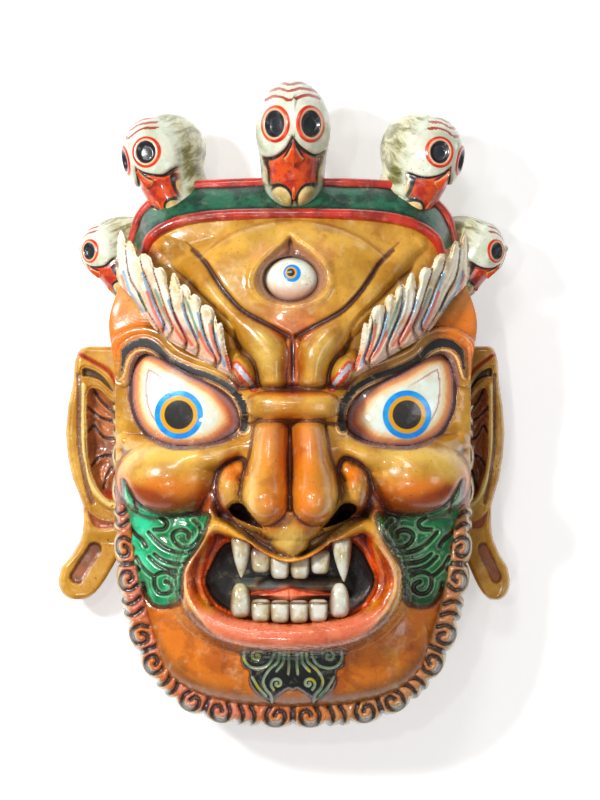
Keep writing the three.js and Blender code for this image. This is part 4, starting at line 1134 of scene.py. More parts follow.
def brow_locks(x, y):
    """The carved top of a brow's leaf, the share along its nearest lock and how deep in a gap each place is."""
    edge = outline_distance(BROW_EDGE, x, y, 260, 12)
    first = np.full(x.shape, 16.0)
    second = np.full(x.shape, 16.0)
    along = np.zeros(x.shape)
    flute = np.zeros(x.shape)
    lift = np.zeros(x.shape)
    for k, line in enumerate(BROW_LOCKS):
        path = smooth_path(line, 40)
        distance, share, side = nearest(path, x, y, 16)
        closer = distance < first
        second = np.where(closer, first, np.minimum(second, distance))
        along = np.where(closer, share, along)
        flute = np.where(closer, np.cos(side * distance * 1.55 + 0.6 * k), flute)
        lift = np.where(closer, 1.1 * math.sin(2.6 * k) + 0.6, lift)
        first = np.minimum(first, distance)
    gap = np.exp(-(((second - first) / 1.5) ** 2))
    body = brow_level(x, y) + 3.4 + lift * smooth_step(0, 3, second - first) - 0.045 * np.minimum(first, 7) ** 2
    body = body + 2.4 * smooth_step(0.30, 0.0, along) + 0.45 * flute * smooth_step(0.02, 0.25, along)
    body = body - 2.8 * gap * smooth_step(0.03, 0.25, along) - 3.0 * (1 - np.sqrt(np.clip(1 - (1 + np.minimum(edge, 0) / 2.6).clip(0, 1) ** 2, 0, 1)))
    body = body - 4.5 * np.maximum(0, edge)
    return body, along, gap, edge


def brow_height(x, y):
    top, _, _, edge = brow_locks(x, y)
    floor = brow_level(x, y) - 5.5
    return np.where(edge < 0.2, np.maximum(top, floor + 0.5), floor - 2.0), floor


def brow_paint(s):
    """White locks with red, blue and green strokes towards their roots, cream tips and painted shade in the deep gaps
    between them.
    """
    along = s.value("along")
    white = s.mix(s.step(s.noise(70, 4, 0.6), 0.42, 0.66), rgb(238, 232, 214), rgb(216, 192, 150))
    ragged = s.math("MULTIPLY", s.math("SUBTRACT", s.noise(150, 4, 0.7), 0.5), 1.6)
    pink = s.math("MULTIPLY", s.step(along, 0.35, 0.95), 0.5)
    colour = s.mix(pink, white, rgb(206, 122, 92))
    for name, half, paint in (("green", 0.55, rgb(70, 130, 106)), ("blue", 0.65, rgb(92, 150, 186)), ("red", 0.7, rgb(206, 86, 62))):
        stroke = s.line(s.math("ADD", s.value(name), ragged), half, 1.1)
        colour = s.mix(s.math("MULTIPLY", stroke, 0.8), colour, paint)
    tip = s.math("MULTIPLY", s.line(s.math("ADD", s.value("edge"), 1.2), 0.6, 0.8), s.step(along, 0.5, 0.2))
    colour = s.mix(s.math("MULTIPLY", tip, 0.6), colour, rgb(246, 226, 180))
    # Painted shade in the deep gaps between the locks, towards their roots.
    deep = s.math("MULTIPLY", s.step(s.value("gap"), 0.15, 0.95), s.step(along, 0.04, 0.45))
    return s.mix(s.math("MULTIPLY", deep, 0.65), colour, rgb(142, 98, 74))


def crevices_of(mesh, sigma=1.4, gain=1.0, rounds=2):
    """How sunk each point is against its neighbours, smoothed a few times."""
    count = len(mesh.vertices)
    points = mask_points(mesh)
    normals = np.zeros(count * 3)
    mesh.vertices.foreach_get("normal", normals)
    normals = normals.reshape(-1, 3)
    edges = np.zeros(len(mesh.edges) * 2, int)
    mesh.edges.foreach_get("vertices", edges)
    a, b = edges.reshape(-1, 2).T
    near = np.bincount(a, minlength=count) + np.bincount(b, minlength=count) + 1e-9
    smooth = points.copy()
    steps = max(2, int((sigma / 0.5) ** 2))
    for _ in range(steps * rounds):
        total = np.stack([np.bincount(a, smooth[b, i], count) + np.bincount(b, smooth[a, i], count) for i in range(3)], -1)
        smooth = 0.4 * smooth + 0.6 * total / near[:, None]
    sunk = ((smooth - points) * normals).sum(1)
    return np.clip(sunk * gain, -1.2, 1.6)


def build_brows():
    spacing = 0.62
    for side, name in ((-1, "brow_left"), (1, "brow_right")):
        mesh = relief_piece(name, spacing, (40, 14), (140, 137), brow_height, 12, side)
        points = mask_points(mesh)
        px, py = np.abs(points[:, 0]), points[:, 1]
        _, along, gap, edge = brow_locks(px, py)
        set_values(mesh, {
            "along": along, "gap": gap, "edge": edge, "crevice": crevices_of(mesh, 1.2, 1.3),
            "blue": lines_distance(BLUE_STROKES, px, py), "red": lines_distance(RED_STROKES, px, py),
            "green": lines_distance(GREEN_STROKES, px, py),
        })
        paint = lacquered("Brow paint", brow_paint, crevice="crevice", patina=0.45, mottle=0.6, specks=0.8)
        place_piece(name, mesh, "face_paint", [], paint)


def rounded_block(centre, half, power, taper=0.0, rings=22, sides=40, bend=0.0):
    """A tooth: a rounded block standing on its root, narrower at its root by the taper."""
    theta = np.linspace(0, math.pi, rings)
    phi = np.arange(sides) / sides * 2 * math.pi
    t, f = np.meshgrid(theta, phi, indexing="ij")
    power_of = lambda value: np.sign(value) * np.abs(value) ** (2 / power)
    x = power_of(np.sin(t)) * power_of(np.cos(f))
    z = power_of(np.sin(t)) * power_of(np.sin(f))
    y = -power_of(np.cos(t))
    shrink = 1 + taper * y
    points = np.stack([x * half[0] * shrink + bend * y * y, y * half[1], z * half[2] * (1 - 0.12 * np.abs(y))], -1)
    return (points + centre).reshape(-1, 3), grid_faces(rings, sides, wrap=True)


def joined(parts):
    """Several point and face lists as one."""
    points, faces, start = [], [], 0
    for p, f in parts:
        points.append(p)
        faces.append(f + start)
        start += len(p)
    return np.vstack(points), np.vstack(faces)


def tooth_paint(s):
    """Cream enamel, yellowed and streaked with brown at the gum."""
    root = s.value("root")
    colour = s.mix(s.step(s.noise(90, 4, 0.6), 0.40, 0.64), rgb(214, 214, 200), rgb(184, 172, 132))
    root = s.math("MAXIMUM", root, s.math("SUBTRACT", s.value("flank"), 0.15))
    streaked = s.math("ADD", root, s.math("MULTIPLY", s.math("SUBTRACT", s.noise(120, 4, 0.7), 0.5), 0.5))
    colour = s.mix(s.math("MULTIPLY", s.step(streaked, 0.30, 0.95), 0.9), colour, rgb(130, 96, 58))
    return s.mix(s.math("MULTIPLY", s.step(root, 0.8, 1.05), 0.8), colour, rgb(70, 44, 34))


def fang(x, root_y, tip_y, z, half, lean, rings=26, sides=36):
    """A pointed tooth from its root to its tip."""
    t = np.linspace(0, 1, rings)[:, None]
    f = (np.arange(sides) / sides * 2 * math.pi)[None, :]
    swell = (1 - t**1.7) ** 0.85 * (0.86 + 0.14 * np.minimum(t * 6, 1))
    px = x + lean * t**1.5 + half * swell * np.cos(f)
    py = root_y + (tip_y - root_y) * t + 0 * f
    pz = z + 0.8 * half * swell * np.sin(f) + 1.5 * np.sin(3.1 * t)
    return np.stack([px, py, pz], -1).reshape(-1, 3), grid_faces(rings, sides, wrap=True)


def build_mouth():
    """The two rows of teeth, the four fangs, the tongue and the dark plate behind it."""
    upper = [(-24.2, -117.8, 9.8), (-9.7, -122.6, 9.6), (5.4, -122.6, 9.6), (20.6, -118.8, 9.8)]
    lower = [(-24.2, -156.4, 8.8), (-9.7, -157.2, 8.8), (4.8, -157.2, 8.8), (19.3, -156.4, 8.8)]
    rows = {
        "teeth_upper": [rounded_block((x, y, 133), (7.5, tall, 8), 3.8, 0.10) for x, y, tall in upper]
        + [fang(-38.9, -99, -132, 134, 8.2, 0.0), fang(36.9, -99, -135, 134, 8.2, 1.8)],
        "teeth_lower": [rounded_block((x, y, 132), (7.5, tall, 8), 3.6, 0.12) for x, y, tall in lower]
        + [rounded_block((x, -148.5, 134), (7.6, 13.2, 8), 2.6, -0.16) for x in (-39.6, 35.2)],
    }
    for name, parts in rows.items():
        points, faces = joined(parts)
        mesh = new_mesh(name, points, faces)
        face_outwards(mesh)
        local = mask_points(mesh)
        middle = np.array([-39.2, -24.2, -9.7, 5.1, 20.0, 36.2])
        flank = np.abs(local[:, :1] - middle).min(1) / 7
        if name == "teeth_upper":
            root = (local[:, 1] + 125.5) / 16 + 0.10 * np.abs(local[:, 0]) / 30
            root = np.where(np.abs(local[:, 0] + 2) > 30, (local[:, 1] + 112) / 12, root)
        else:
            root = np.maximum((-158 - local[:, 1]) / 8, 1.2 - np.abs(local[:, 1] + 150.6) / 2.2)
            root = np.where(np.abs(local[:, 0] + 2) > 29, (-152 - local[:, 1]) / 12, root)
        set_values(mesh, {"root": root, "flank": flank})
        place_piece(name, mesh, "face_paint", [], lacquered("Tooth enamel", tooth_paint, mottle=0.5, waviness=0.6))

    def tongue_height(x, y):
        ax = np.abs(x - MOUTH_X)
        edge = 6.2 * (1 - ax / 25) - np.abs(y + 145.2)
        crest = np.exp(-(((y + 140.4 + 0.20 * ax) / 1.6) ** 2))
        top = 120 + 9 * (1 - np.exp(-np.maximum(edge, 0) / 3.0)) + 3.0 * crest - 1.2 * np.exp(-((ax / 0.9) ** 2))
        return np.where(edge > 0, top, 121 + 3 * edge), np.full(x.shape, 112.0)

    def plate_height(x, y):
        edge = np.minimum(38 - np.abs(x - MOUTH_X), 5.5 - np.abs(y + 138.5) - 0.05 * np.abs(x))
        return np.where(edge > 0, 113 + 5 * (1 - np.exp(-np.maximum(edge, 0) / 2)), 113 + 3 * edge), np.full(x.shape, 106.0)

    spacing = 0.5
    tongue = relief_piece("tongue", spacing, (-32, -156), (32, -132), tongue_height, 8)
    place_piece("tongue", tongue, "face_paint", [], lacquered("Tongue paint", tongue_paint, mottle=0.7))
    plate = relief_piece("palate", spacing, (-46, -148), (46, -130), plate_height, 6)
    place_piece("palate", plate, "face_paint", [], lacquered("Palate paint", palate_paint, mottle=0.5))


def tongue_paint(s):
    split = s.node("ShaderNodeSeparateXYZ")
    s.feed(split.inputs[0], s.place())
    low = s.step(split.outputs[1], -0.142, -0.150)
    colour = s.mix(s.step(s.noise(80, 4, 0.6), 0.42, 0.62), RED, rgb(236, 120, 84))
    return s.mix(s.math("MULTIPLY", low, 0.6), colour, rgb(246, 184, 140))


def palate_paint(s):
    return s.mix(s.step(s.noise(80, 4, 0.6), 0.40, 0.62), rgb(96, 104, 100), rgb(140, 120, 92))


# The curled beard runs round the outline from above one ear, under the chin, to the other.
BEARD_FROM = -192
BEARD_TO = 12
UNIT = 70.0
BEARD_LINES = [
    [(-17.5, -7.5), (-14.5, -1.5), (-16.5, 4.8), (-22.5, 6.6), (-28.2, 3.2), (-28.4, -2.6), (-23.6, -4.6), (-21, -1.2)],
    [(17.5, -7.5), (14.5, -1.5), (16.5, 4.8), (22.5, 6.6), (28.2, 3.2), (28.4, -2.6), (23.6, -4.6), (21, -1.2)],
    [(-8.5, 8), (-4.4, 3.5), (-4.2, -2), (-7.4, -7.5)], [(0.5, 8), (4.8, 3.5), (5, -2), (1.8, -7.5)],
    [(-35, 9), (-34.4, 0), (-35, -10)], [(35, 9), (34.4, 0), (35, -10)],
]


def beard_frame(samples):
    """Even places along the head's outline with their outward directions and the length so far."""
    angle = np.radians(np.linspace(BEARD_FROM, BEARD_TO, 4000))
    radius = head_radius(angle)
    line = np.stack([radius * np.cos(angle), WIDEST_Y + radius * np.sin(angle)], -1)
    length = np.concatenate([[0], np.cumsum(np.hypot(*np.diff(line, axis=0).T))])
    even = np.linspace(0, length[-1], samples)
    x, y = np.interp(even, length, line[:, 0]), np.interp(even, length, line[:, 1])
    tangent = np.stack([np.gradient(x), np.gradient(y)], -1)
    tangent /= np.linalg.norm(tangent, axis=1)[:, None]
    return np.stack([x, y], -1), np.stack([tangent[:, 1], -tangent[:, 0]], -1), even - length[-1] / 2 + 0.0


def beard_scallop(s):
    """How far the beard's outer edge stands out at each place along a unit."""
    big = np.maximum(0, 1 - ((np.abs(s) - 22.5) / 12.4) ** 2) ** 0.5
    small = np.maximum(0, 1 - ((s + 5) / 5.2) ** 2) ** 0.5 + np.maximum(0, 1 - ((s - 4.5) / 5.2) ** 2) ** 0.5
    return 5.0 * np.maximum(big, 0.8 * np.clip(small, 0, 1))


def build_beard():
    along = 1500
    across = 64
    places, outward, length = beard_frame(along)
    share = np.abs(length) / np.abs(length).max()
    narrow = 1 - 0.38 * smooth_step(0.45, 0.85, share)
    unit = (length + UNIT / 2) % UNIT - UNIT / 2
    # The middle of the chin is a gap between two units.
    unit = (length + UNIT) % UNIT - UNIT / 2
    scallop = beard_scallop(unit)
    profile = smooth_path([(-18, -9), (-16.6, 0.0), (-13.5, 3.4), (-7, 3.8), (-1, 1.0), (2.2, -8), (3.2, -19), (1.6, -31), (-2.5, -40), (-7, -43)], across)
    offset = profile[:, 0][None, :] * np.where(profile[:, 0][None, :] < 0, narrow[:, None], 1)
    rim_z = dome_height(places[:, 0] - 15 * narrow * outward[:, 0], places[:, 1] - 15 * narrow * outward[:, 1])
    lift = profile[:, 1][None, :] + rim_z[:, None] + 1.5
    lift = np.maximum(lift, 44 + 0 * lift)
    outer = smooth_step(-7, 2.5, profile[:, 0])[None, :]
    offset = offset + outer * (scallop[:, None] - 4.5) * 0.9
    t = (offset / narrow[:, None] + 6.2)
    s = np.repeat(unit[:, None], across, 1)
    lines = lines_distance(BEARD_LINES, s, t * 1.0, reach=9)
    tops = smooth_step(-24, -6, profile[:, 1])[None, :]
    lift = lift - tops * (2.6 * np.exp(-((lines / 1.6) ** 2)) - 1.0 * np.exp(-(((lines - 3.6) / 1.9) ** 2)))
    offset = offset - (1 - tops) * 1.6 * np.exp(-((np.abs(s) - 12.5) / 1.3) ** 2)
    x = places[:, 0][:, None] + offset * outward[:, 0][:, None]
    y = places[:, 1][:, None] + offset * outward[:, 1][:, None]
    points = np.stack([x, y, lift], -1).reshape(-1, 3)
    faces = grid_faces(along, across, wrap=True).tolist()
    faces.append(list(range(across)))
    faces.append([(along - 1) * across + k for k in reversed(range(across))])
    mesh = new_mesh("curled_beard", points, faces)
    work = bmesh.new()
    work.from_mesh(mesh)
    bmesh.ops.recalc_face_normals(work, faces=work.faces)
    work.to_mesh(mesh)
    work.free()
    mesh.polygons.foreach_set("use_smooth", [True] * len(mesh.polygons))
    set_values(mesh, {
        "lines": lines.ravel(), "out": t.ravel(), "drop": (rim_z[:, None] - lift).ravel(),
        "right": smooth_step(-10, 60, x).ravel(),
        "crevice": np.clip(crevices_of(mesh, 1.2, 1.2), -1, 1.3),
    })
    paint = lacquered("Beard paint", beard_paint, crevice="crevice", patina=0.8, mottle=0.7)
    place_piece("curled_beard", mesh, "face_paint", [], paint)


def beard_paint(s):
    """Rose and orange curls with a cream outer edge and near-black grooves."""
    cloud = s.noise(40, 3, 0.6)
    colour = s.mix(s.step(cloud, 0.40, 0.62), rgb(204, 118, 94), rgb(196, 110, 54))
    colour = s.mix(s.math("MULTIPLY", s.value("right"), 0.6), colour, rgb(176, 134, 84))
    edge = s.math("ADD", s.value("out"), s.math("MULTIPLY", s.math("SUBTRACT", s.noise(90, 4, 0.6), 0.5), 5.0))
    colour = s.mix(s.math("MULTIPLY", s.step(edge, 0.5, 7.0), 0.85), colour, rgb(206, 190, 150))
    olive = s.math("MULTIPLY", s.step(s.noise(55, 4, 0.6), 0.52, 0.66), s.step(edge, -2.0, 5.0))
    colour = s.mix(s.math("MULTIPLY", olive, 0.6), colour, rgb(140, 120, 66))
    colour = s.mix(s.math("MULTIPLY", s.step(s.value("drop"), 14, 34), 0.75), colour, rgb(150, 132, 92))
    return s.mix(s.math("MULTIPLY", s.line(s.value("lines"), 0.75, 1.0), 0.95), colour, rgb(48, 36, 32))


CROWN_LOWER = [[0.838, 58, 26], [0.794, 44, 32], [0.647, 33, 38], [0.404, 28, 41], [0, 27, 42]]
CROWN_UPPER = [[0.912, 46, 4], [0.853, 24, 8], [0.676, 7, 15], [0.404, 3, 18], [0, 2, 19]]


def crown_line(rows, count):
    """One edge of the crown, from its left end over the forehead to its right end."""
    rows = np.array(rows, float)
    half = np.stack([rows[:, 0] * HALF_WIDTH, CROWN_Y - rows[:, 1], EDGE_Z + rows[:, 2]], -1)
    return smooth_path(np.vstack([half * [-1, 1, 1], half[::-1][1:]]), count)


def roll_nodes():
    """A node tree that sweeps a round, hand-carved roll along a line."""
    tree = bpy.data.node_groups.get("Carved roll")
    if tree:
        return tree
    tree = bpy.data.node_groups.new("Carved roll", "GeometryNodeTree")
    face = tree.interface
    face.new_socket("Line", in_out="INPUT", socket_type="NodeSocketGeometry")
    face.new_socket("Radius", in_out="INPUT", socket_type="NodeSocketFloat").default_value = 0.0046
    face.new_socket("Facets", in_out="INPUT", socket_type="NodeSocketInt").default_value = 24
    face.new_socket("Unevenness", in_out="INPUT", socket_type="NodeSocketFloat").default_value = 0.0005
    face.new_socket("Paint", in_out="INPUT", socket_type="NodeSocketMaterial")
    face.new_socket("Roll", in_out="OUTPUT", socket_type="NodeSocketGeometry")

    def node(kind, **settings):
        made = tree.nodes.new(kind)
        for key, value in settings.items():
            setattr(made, key, value)
        return made

    link = tree.links.new
    given = node("NodeGroupInput")
    curve = node("GeometryNodeMeshToCurve")
    link(given.outputs["Line"], curve.inputs["Mesh"])
    profile = node("GeometryNodeCurvePrimitiveCircle")
    link(given.outputs["Facets"], profile.inputs["Resolution"])
    link(given.outputs["Radius"], profile.inputs["Radius"])
    sweep = node("GeometryNodeCurveToMesh")
    link(curve.outputs["Curve"], sweep.inputs["Curve"])
    link(profile.outputs["Curve"], sweep.inputs["Profile Curve"])
    sweep.inputs["Fill Caps"].default_value = True
    noise = node("ShaderNodeTexNoise")
    noise.inputs["Scale"].default_value = 55.0
    centred = node("ShaderNodeMath", operation="SUBTRACT")
    centred.inputs[1].default_value = 0.5
    link(noise.outputs["Fac"], centred.inputs[0])
    amount = node("ShaderNodeMath", operation="MULTIPLY")
    link(centred.outputs[0], amount.inputs[0])
    link(given.outputs["Unevenness"], amount.inputs[1])
    along = node("ShaderNodeVectorMath", operation="SCALE")
    link(node("GeometryNodeInputNormal").outputs["Normal"], along.inputs[0])
    link(amount.outputs[0], along.inputs["Scale"])
    moved = node("GeometryNodeSetPosition")
    link(sweep.outputs["Mesh"], moved.inputs["Geometry"])
    link(along.outputs["Vector"], moved.inputs["Offset"])
    smooth = node("GeometryNodeSetShadeSmooth")
    link(moved.outputs["Geometry"], smooth.inputs["Geometry"])
    real = node("GeometryNodeRealizeInstances")
    link(smooth.outputs["Geometry"], real.inputs["Geometry"])
    painted = node("GeometryNodeSetMaterial")
    link(real.outputs["Geometry"], painted.inputs["Geometry"])
    link(given.outputs["Paint"], painted.inputs["Material"])
    link(painted.outputs["Geometry"], node("NodeGroupOutput").inputs["Roll"])
    return tree


def swept_roll(name, line, radius, facets, paint):
    """A closed roll along a line, made by the node tree and kept as a plain mesh."""
    places = (np.asarray(line) + [MIDDLE_X, 0, 0]) * MM
    path = bpy.data.meshes.new(name + "_line")
    path.from_pydata(places.tolist(), [(k, k + 1) for k in range(len(places) - 1)], [])
    holder = bpy.data.objects.new(name + "_line", path)
    bpy.context.scene.collection.objects.link(holder)
    modifier = holder.modifiers.new("roll", "NODES")
    modifier.node_group = roll_nodes()
    sockets = {item.name: item.identifier for item in modifier.node_group.interface.items_tree if item.in_out == "INPUT"}
    modifier[sockets["Radius"]] = radius * MM
    modifier[sockets["Facets"]] = facets
    modifier[sockets["Unevenness"]] = 0.0011
    modifier[sockets["Paint"]] = paint
    graph = bpy.context.evaluated_depsgraph_get()
    mesh = bpy.data.meshes.new_from_object(holder.evaluated_get(graph))
    holder.modifiers.remove(modifier)
    bpy.data.objects.remove(holder)
    bpy.data.meshes.remove(path)
    mesh.name = name
    mesh.materials.clear()
    face_outwards(mesh)
    return mesh


def face_outwards(mesh):
    """Merges doubled points, turns every face of a closed mesh outwards and smooths its shading."""
    work = bmesh.new()
    work.from_mesh(mesh)
    bmesh.ops.remove_doubles(work, verts=work.verts, dist=1e-6)
    bmesh.ops.recalc_face_normals(work, faces=work.faces)
    work.to_mesh(mesh)
    work.free()
    mesh.polygons.foreach_set("use_smooth", [True] * len(mesh.polygons))


def build_crown():
    """The two red rolls and the green band that climbs between them."""
    count = 420
    low, high = crown_line(CROWN_LOWER, count), crown_line(CROWN_UPPER, count)
    climb = high - low
    width = np.linalg.norm(climb, axis=1)[:, None]
    climb /= width
    front = np.cross(np.gradient(low, axis=0), climb)
    front /= np.linalg.norm(front, axis=1)[:, None]
    spans = np.concatenate([[0, 0], np.linspace(0, 1, 19), [1, 1]])
    rise = np.concatenate([[-20, -9], 0.5 + 0.9 * np.sin(np.linspace(0, math.pi, 19)), [-9, -20]])
    points = (
        low[:, None, :]
        + climb[:, None, :] * (spans[None, :] * width)[..., None]
        + front[:, None, :] * (rise[None, :] + 0.3 * np.sin(np.arange(count) / count * 61)[:, None])[..., None]
    )
    across = len(rise)
    faces = grid_faces(count, across, wrap=True).tolist()
    faces.append(list(range(across)))
    faces.append([(count - 1) * across + k for k in reversed(range(across))])
    mesh = new_mesh("crown_band", points.reshape(-1, 3), faces)
    face_outwards(mesh)
    set_values(mesh, {"span": np.tile(spans, count)})
    place_piece("crown_band", mesh, "face_paint", [], lacquered("Band paint", band_paint, patina=0.9, mottle=0.8))
    paint = lacquered("Roll paint", roll_paint, patina=0.9, mottle=0.9)
    for name, line, radius in (("crown_roll_lower", low, 4.3), ("crown_roll_upper", high, 4.0)):
        rounded = line.copy()
        place_piece(name, swept_roll(name, rounded, radius, 28, paint), "face_paint", [], paint)


def band_paint(s):
    """Deep green, with a dark line of painted shade along both rolls, so brighter in the middle."""
    green = s.mix(s.step(s.noise(50, 4, 0.6), 0.42, 0.60), BAND_GREEN, rgb(16, 52, 40))
    # Painted shade where the band meets the rolls.
    edge = s.math("ABSOLUTE", s.math("SUBTRACT", s.value("span"), 0.5))
    return s.mix(s.math("MULTIPLY", s.step(edge, 0.24, 0.36), 0.85), green, rgb(14, 20, 18))


def roll_paint(s):
    """Worn red with brick and rose patches."""
    red = s.mix(s.step(s.noise(45, 4, 0.6), 0.40, 0.64), rgb(190, 58, 46), rgb(142, 42, 34))
    return s.mix(s.math("MULTIPLY", s.step(s.noise(28, 4, 0.6), 0.54, 0.68), 0.5), red, rgb(200, 112, 90))


# The skulls' paint is laid out as seen from the front, from the level of the eyes.
SKULL_SIZE = {"half": 29.6, "up": 37.9, "front": 37, "back": 56, "jaw_half": 25, "jaw_down": 70, "jaw_front": 33}
SKULL_VIEW = math.radians(17)
MASK_LOW = [(-34, -15), (-27, -20.5), (-19.6, -23.9), (-13, -23.1), (-6.4, -18.4), (-2.5, -12.5), (0, -8.8), (2.5, -12), (6.1, -16.1), (13.4, -20.9), (18.6, -21.7), (27.4, -16.1), (34, -13)]
FLESH = [(-24.5, -22), (-23, -26), (-19.6, -31.6), (-17.8, -38.9), (-16.2, -44), (-11.5, -43.3), (-5.7, -46.2), (-1.6, -51.5), (1, -55.5), (4.2, -50.5), (12, -44), (16.4, -42.9), (19.6, -43), (20.8, -36.7), (23.4, -30.8), (25.5, -22), (13, -12), (0, -6), (-13, -12)]
WRINKLES = [
    [(-14.5, 30.5), (-8.6, 31.6), (-2, 29.7), (5.4, 31.2), (12.7, 30.8)],
    [(-16.7, 25.3), (-10, 26.8), (-2.7, 24.6), (6.1, 26.8), (17.8, 24.8)],
    [(-20, 18.4), (-15.2, 20.7), (-8.6, 20.2), (-2.7, 17.6), (3.2, 19.1), (10.5, 21.7), (19.7, 19.5)],
]


def ellipsoid_reach(direction, start, centre, half):
    """How far a ray from the start goes to leave an ellipsoid, in rows."""
    a = ((direction / half) ** 2).sum(-1)
    gap = (start - centre) / half
    b = (direction / half * gap).sum(-1)
    c = (gap**2).sum(-1) - 1
    inside_root = b * b - a * c
    return np.where(inside_root > 0, (-b + np.sqrt(np.maximum(inside_root, 0))) / a, 0)


def skull_form(rings, sides):
    """A skull's points in its own frame with the marks that its paint follows."""
    size = SKULL_SIZE
    theta = np.linspace(0.0005, math.pi - 0.0005, rings)
    phi = np.arange(sides) / sides * 2 * math.pi
    t, f = np.meshgrid(theta, phi, indexing="ij")
    d = np.stack([np.sin(t) * np.cos(f), np.sin(t) * np.sin(f), np.cos(t)], -1).reshape(-1, 3)
    start = np.array([0, -8.0, 0])
    depth = np.where(d[:, 2] > 0, size["front"], size["back"])[:, None]
    half = np.concatenate([np.full_like(depth, size["half"]), np.full_like(depth, size["up"]), depth], 1)
    cranium = ellipsoid_reach(d, start, np.zeros(3), half)
    jaw_tall = (size["jaw_down"] + 12) / 2
    jaw_half = np.array([size["jaw_half"], jaw_tall, size["jaw_front"]])
    jaw = ellipsoid_reach(d, start, np.array([0, jaw_tall - size["jaw_down"], 0]), jaw_half)
    reach = smooth_max(cranium, jaw, 7.0)
    p = start + d * reach[:, None]
    p[:, 1] = np.where(p[:, 1] < -54, -54 + (p[:, 1] + 54) * 0.55, p[:, 1])
    cos, sin = math.cos(SKULL_VIEW), math.sin(SKULL_VIEW)
    u = p[:, 0]
    v = p[:, 1] * cos - p[:, 2] * sin - 1.4
    w = p[:, 1] * sin + p[:, 2] * cos
    front = smooth_step(4, 14, w)
    au = np.abs(u)
    socket = np.sqrt(((au - 13.2) / 7.0) ** 2 + (v / 9.7) ** 2)
    ring = (np.sqrt(((au - 12.6) / 10.6) ** 2 + (v / 13.8) ** 2) - 1) * 11
    low = smooth_path([(a, b, 0) for a, b in MASK_LOW], 200)
    edge = (v - np.interp(u, low[:, 0], low[:, 1])) * 0.8
    flesh = outline_distance(FLESH, u, v, 120, 30)
    oval = np.minimum(
        (np.sqrt((((u + 9.3) * 0.92 + (v + 55.5) * 0.35) / 7.6) ** 2 + (((v + 55.5) * 0.92 - (u + 9.3) * 0.35) / 9.2) ** 2) - 1) * 8,
        (np.sqrt((((u - 11.2) * 0.92 - (v + 54.8) * 0.35) / 7.0) ** 2 + (((v + 54.8) * 0.92 + (u - 11.2) * 0.35) / 9.2) ** 2) - 1) * 8,
    )
    sliver = (np.sqrt(((au - 22) / 2.8) ** 2 + ((v + 39.5) / 10) ** 2) - 1) * 2.8
    nose = np.clip(1 - np.abs(u - 0.6) / np.interp(-v, [12.5, 17, 23, 25.6, 27.6, 29.6], [0.1, 1.8, 5.6, 8.8, 6.5, 0.1]), 0, 1)
    wrinkle = lines_distance(WRINKLES, u, v, 6)
    rise = 1.7 * smooth_step(-0.8, 1.4, edge) - 4.2 * smooth_step(1.05, 0.7, socket)
    rise += 0.9 * np.exp(-(((ring + 2) / 1.8) ** 2)) + 3.6 * nose**0.8 + 1.9 * smooth_step(0.8, -2, oval)
    rise += 1.2 * smooth_step(0.5, -1.2, sliver) - 0.5 * np.exp(-((wrinkle / 0.9) ** 2))
    rise -= 1.5 * np.exp(-(((edge + 1.6) / 1.6) ** 2)) * (np.abs(u) < 30)
    p = p + d * (rise * front * smooth_step(-70, -62, v))[:, None]
    marks = {
        "edge": np.where(front > 0.02, edge, 8), "socket": socket, "ring": ring, "flesh": flesh, "oval": oval,
        "sliver": sliver, "nose": nose, "wrinkle": wrinkle, "front": front, "up": v, "rear": smooth_step(22, -12, w),
        "nose_dark": np.clip(np.interp(-v, [9.5, 16, 24, 26], [0, 3.6, 7.8, 8.6]) - np.abs(u - 0.6), -3, 3) * (v > -26.5),
    }
    return p, marks


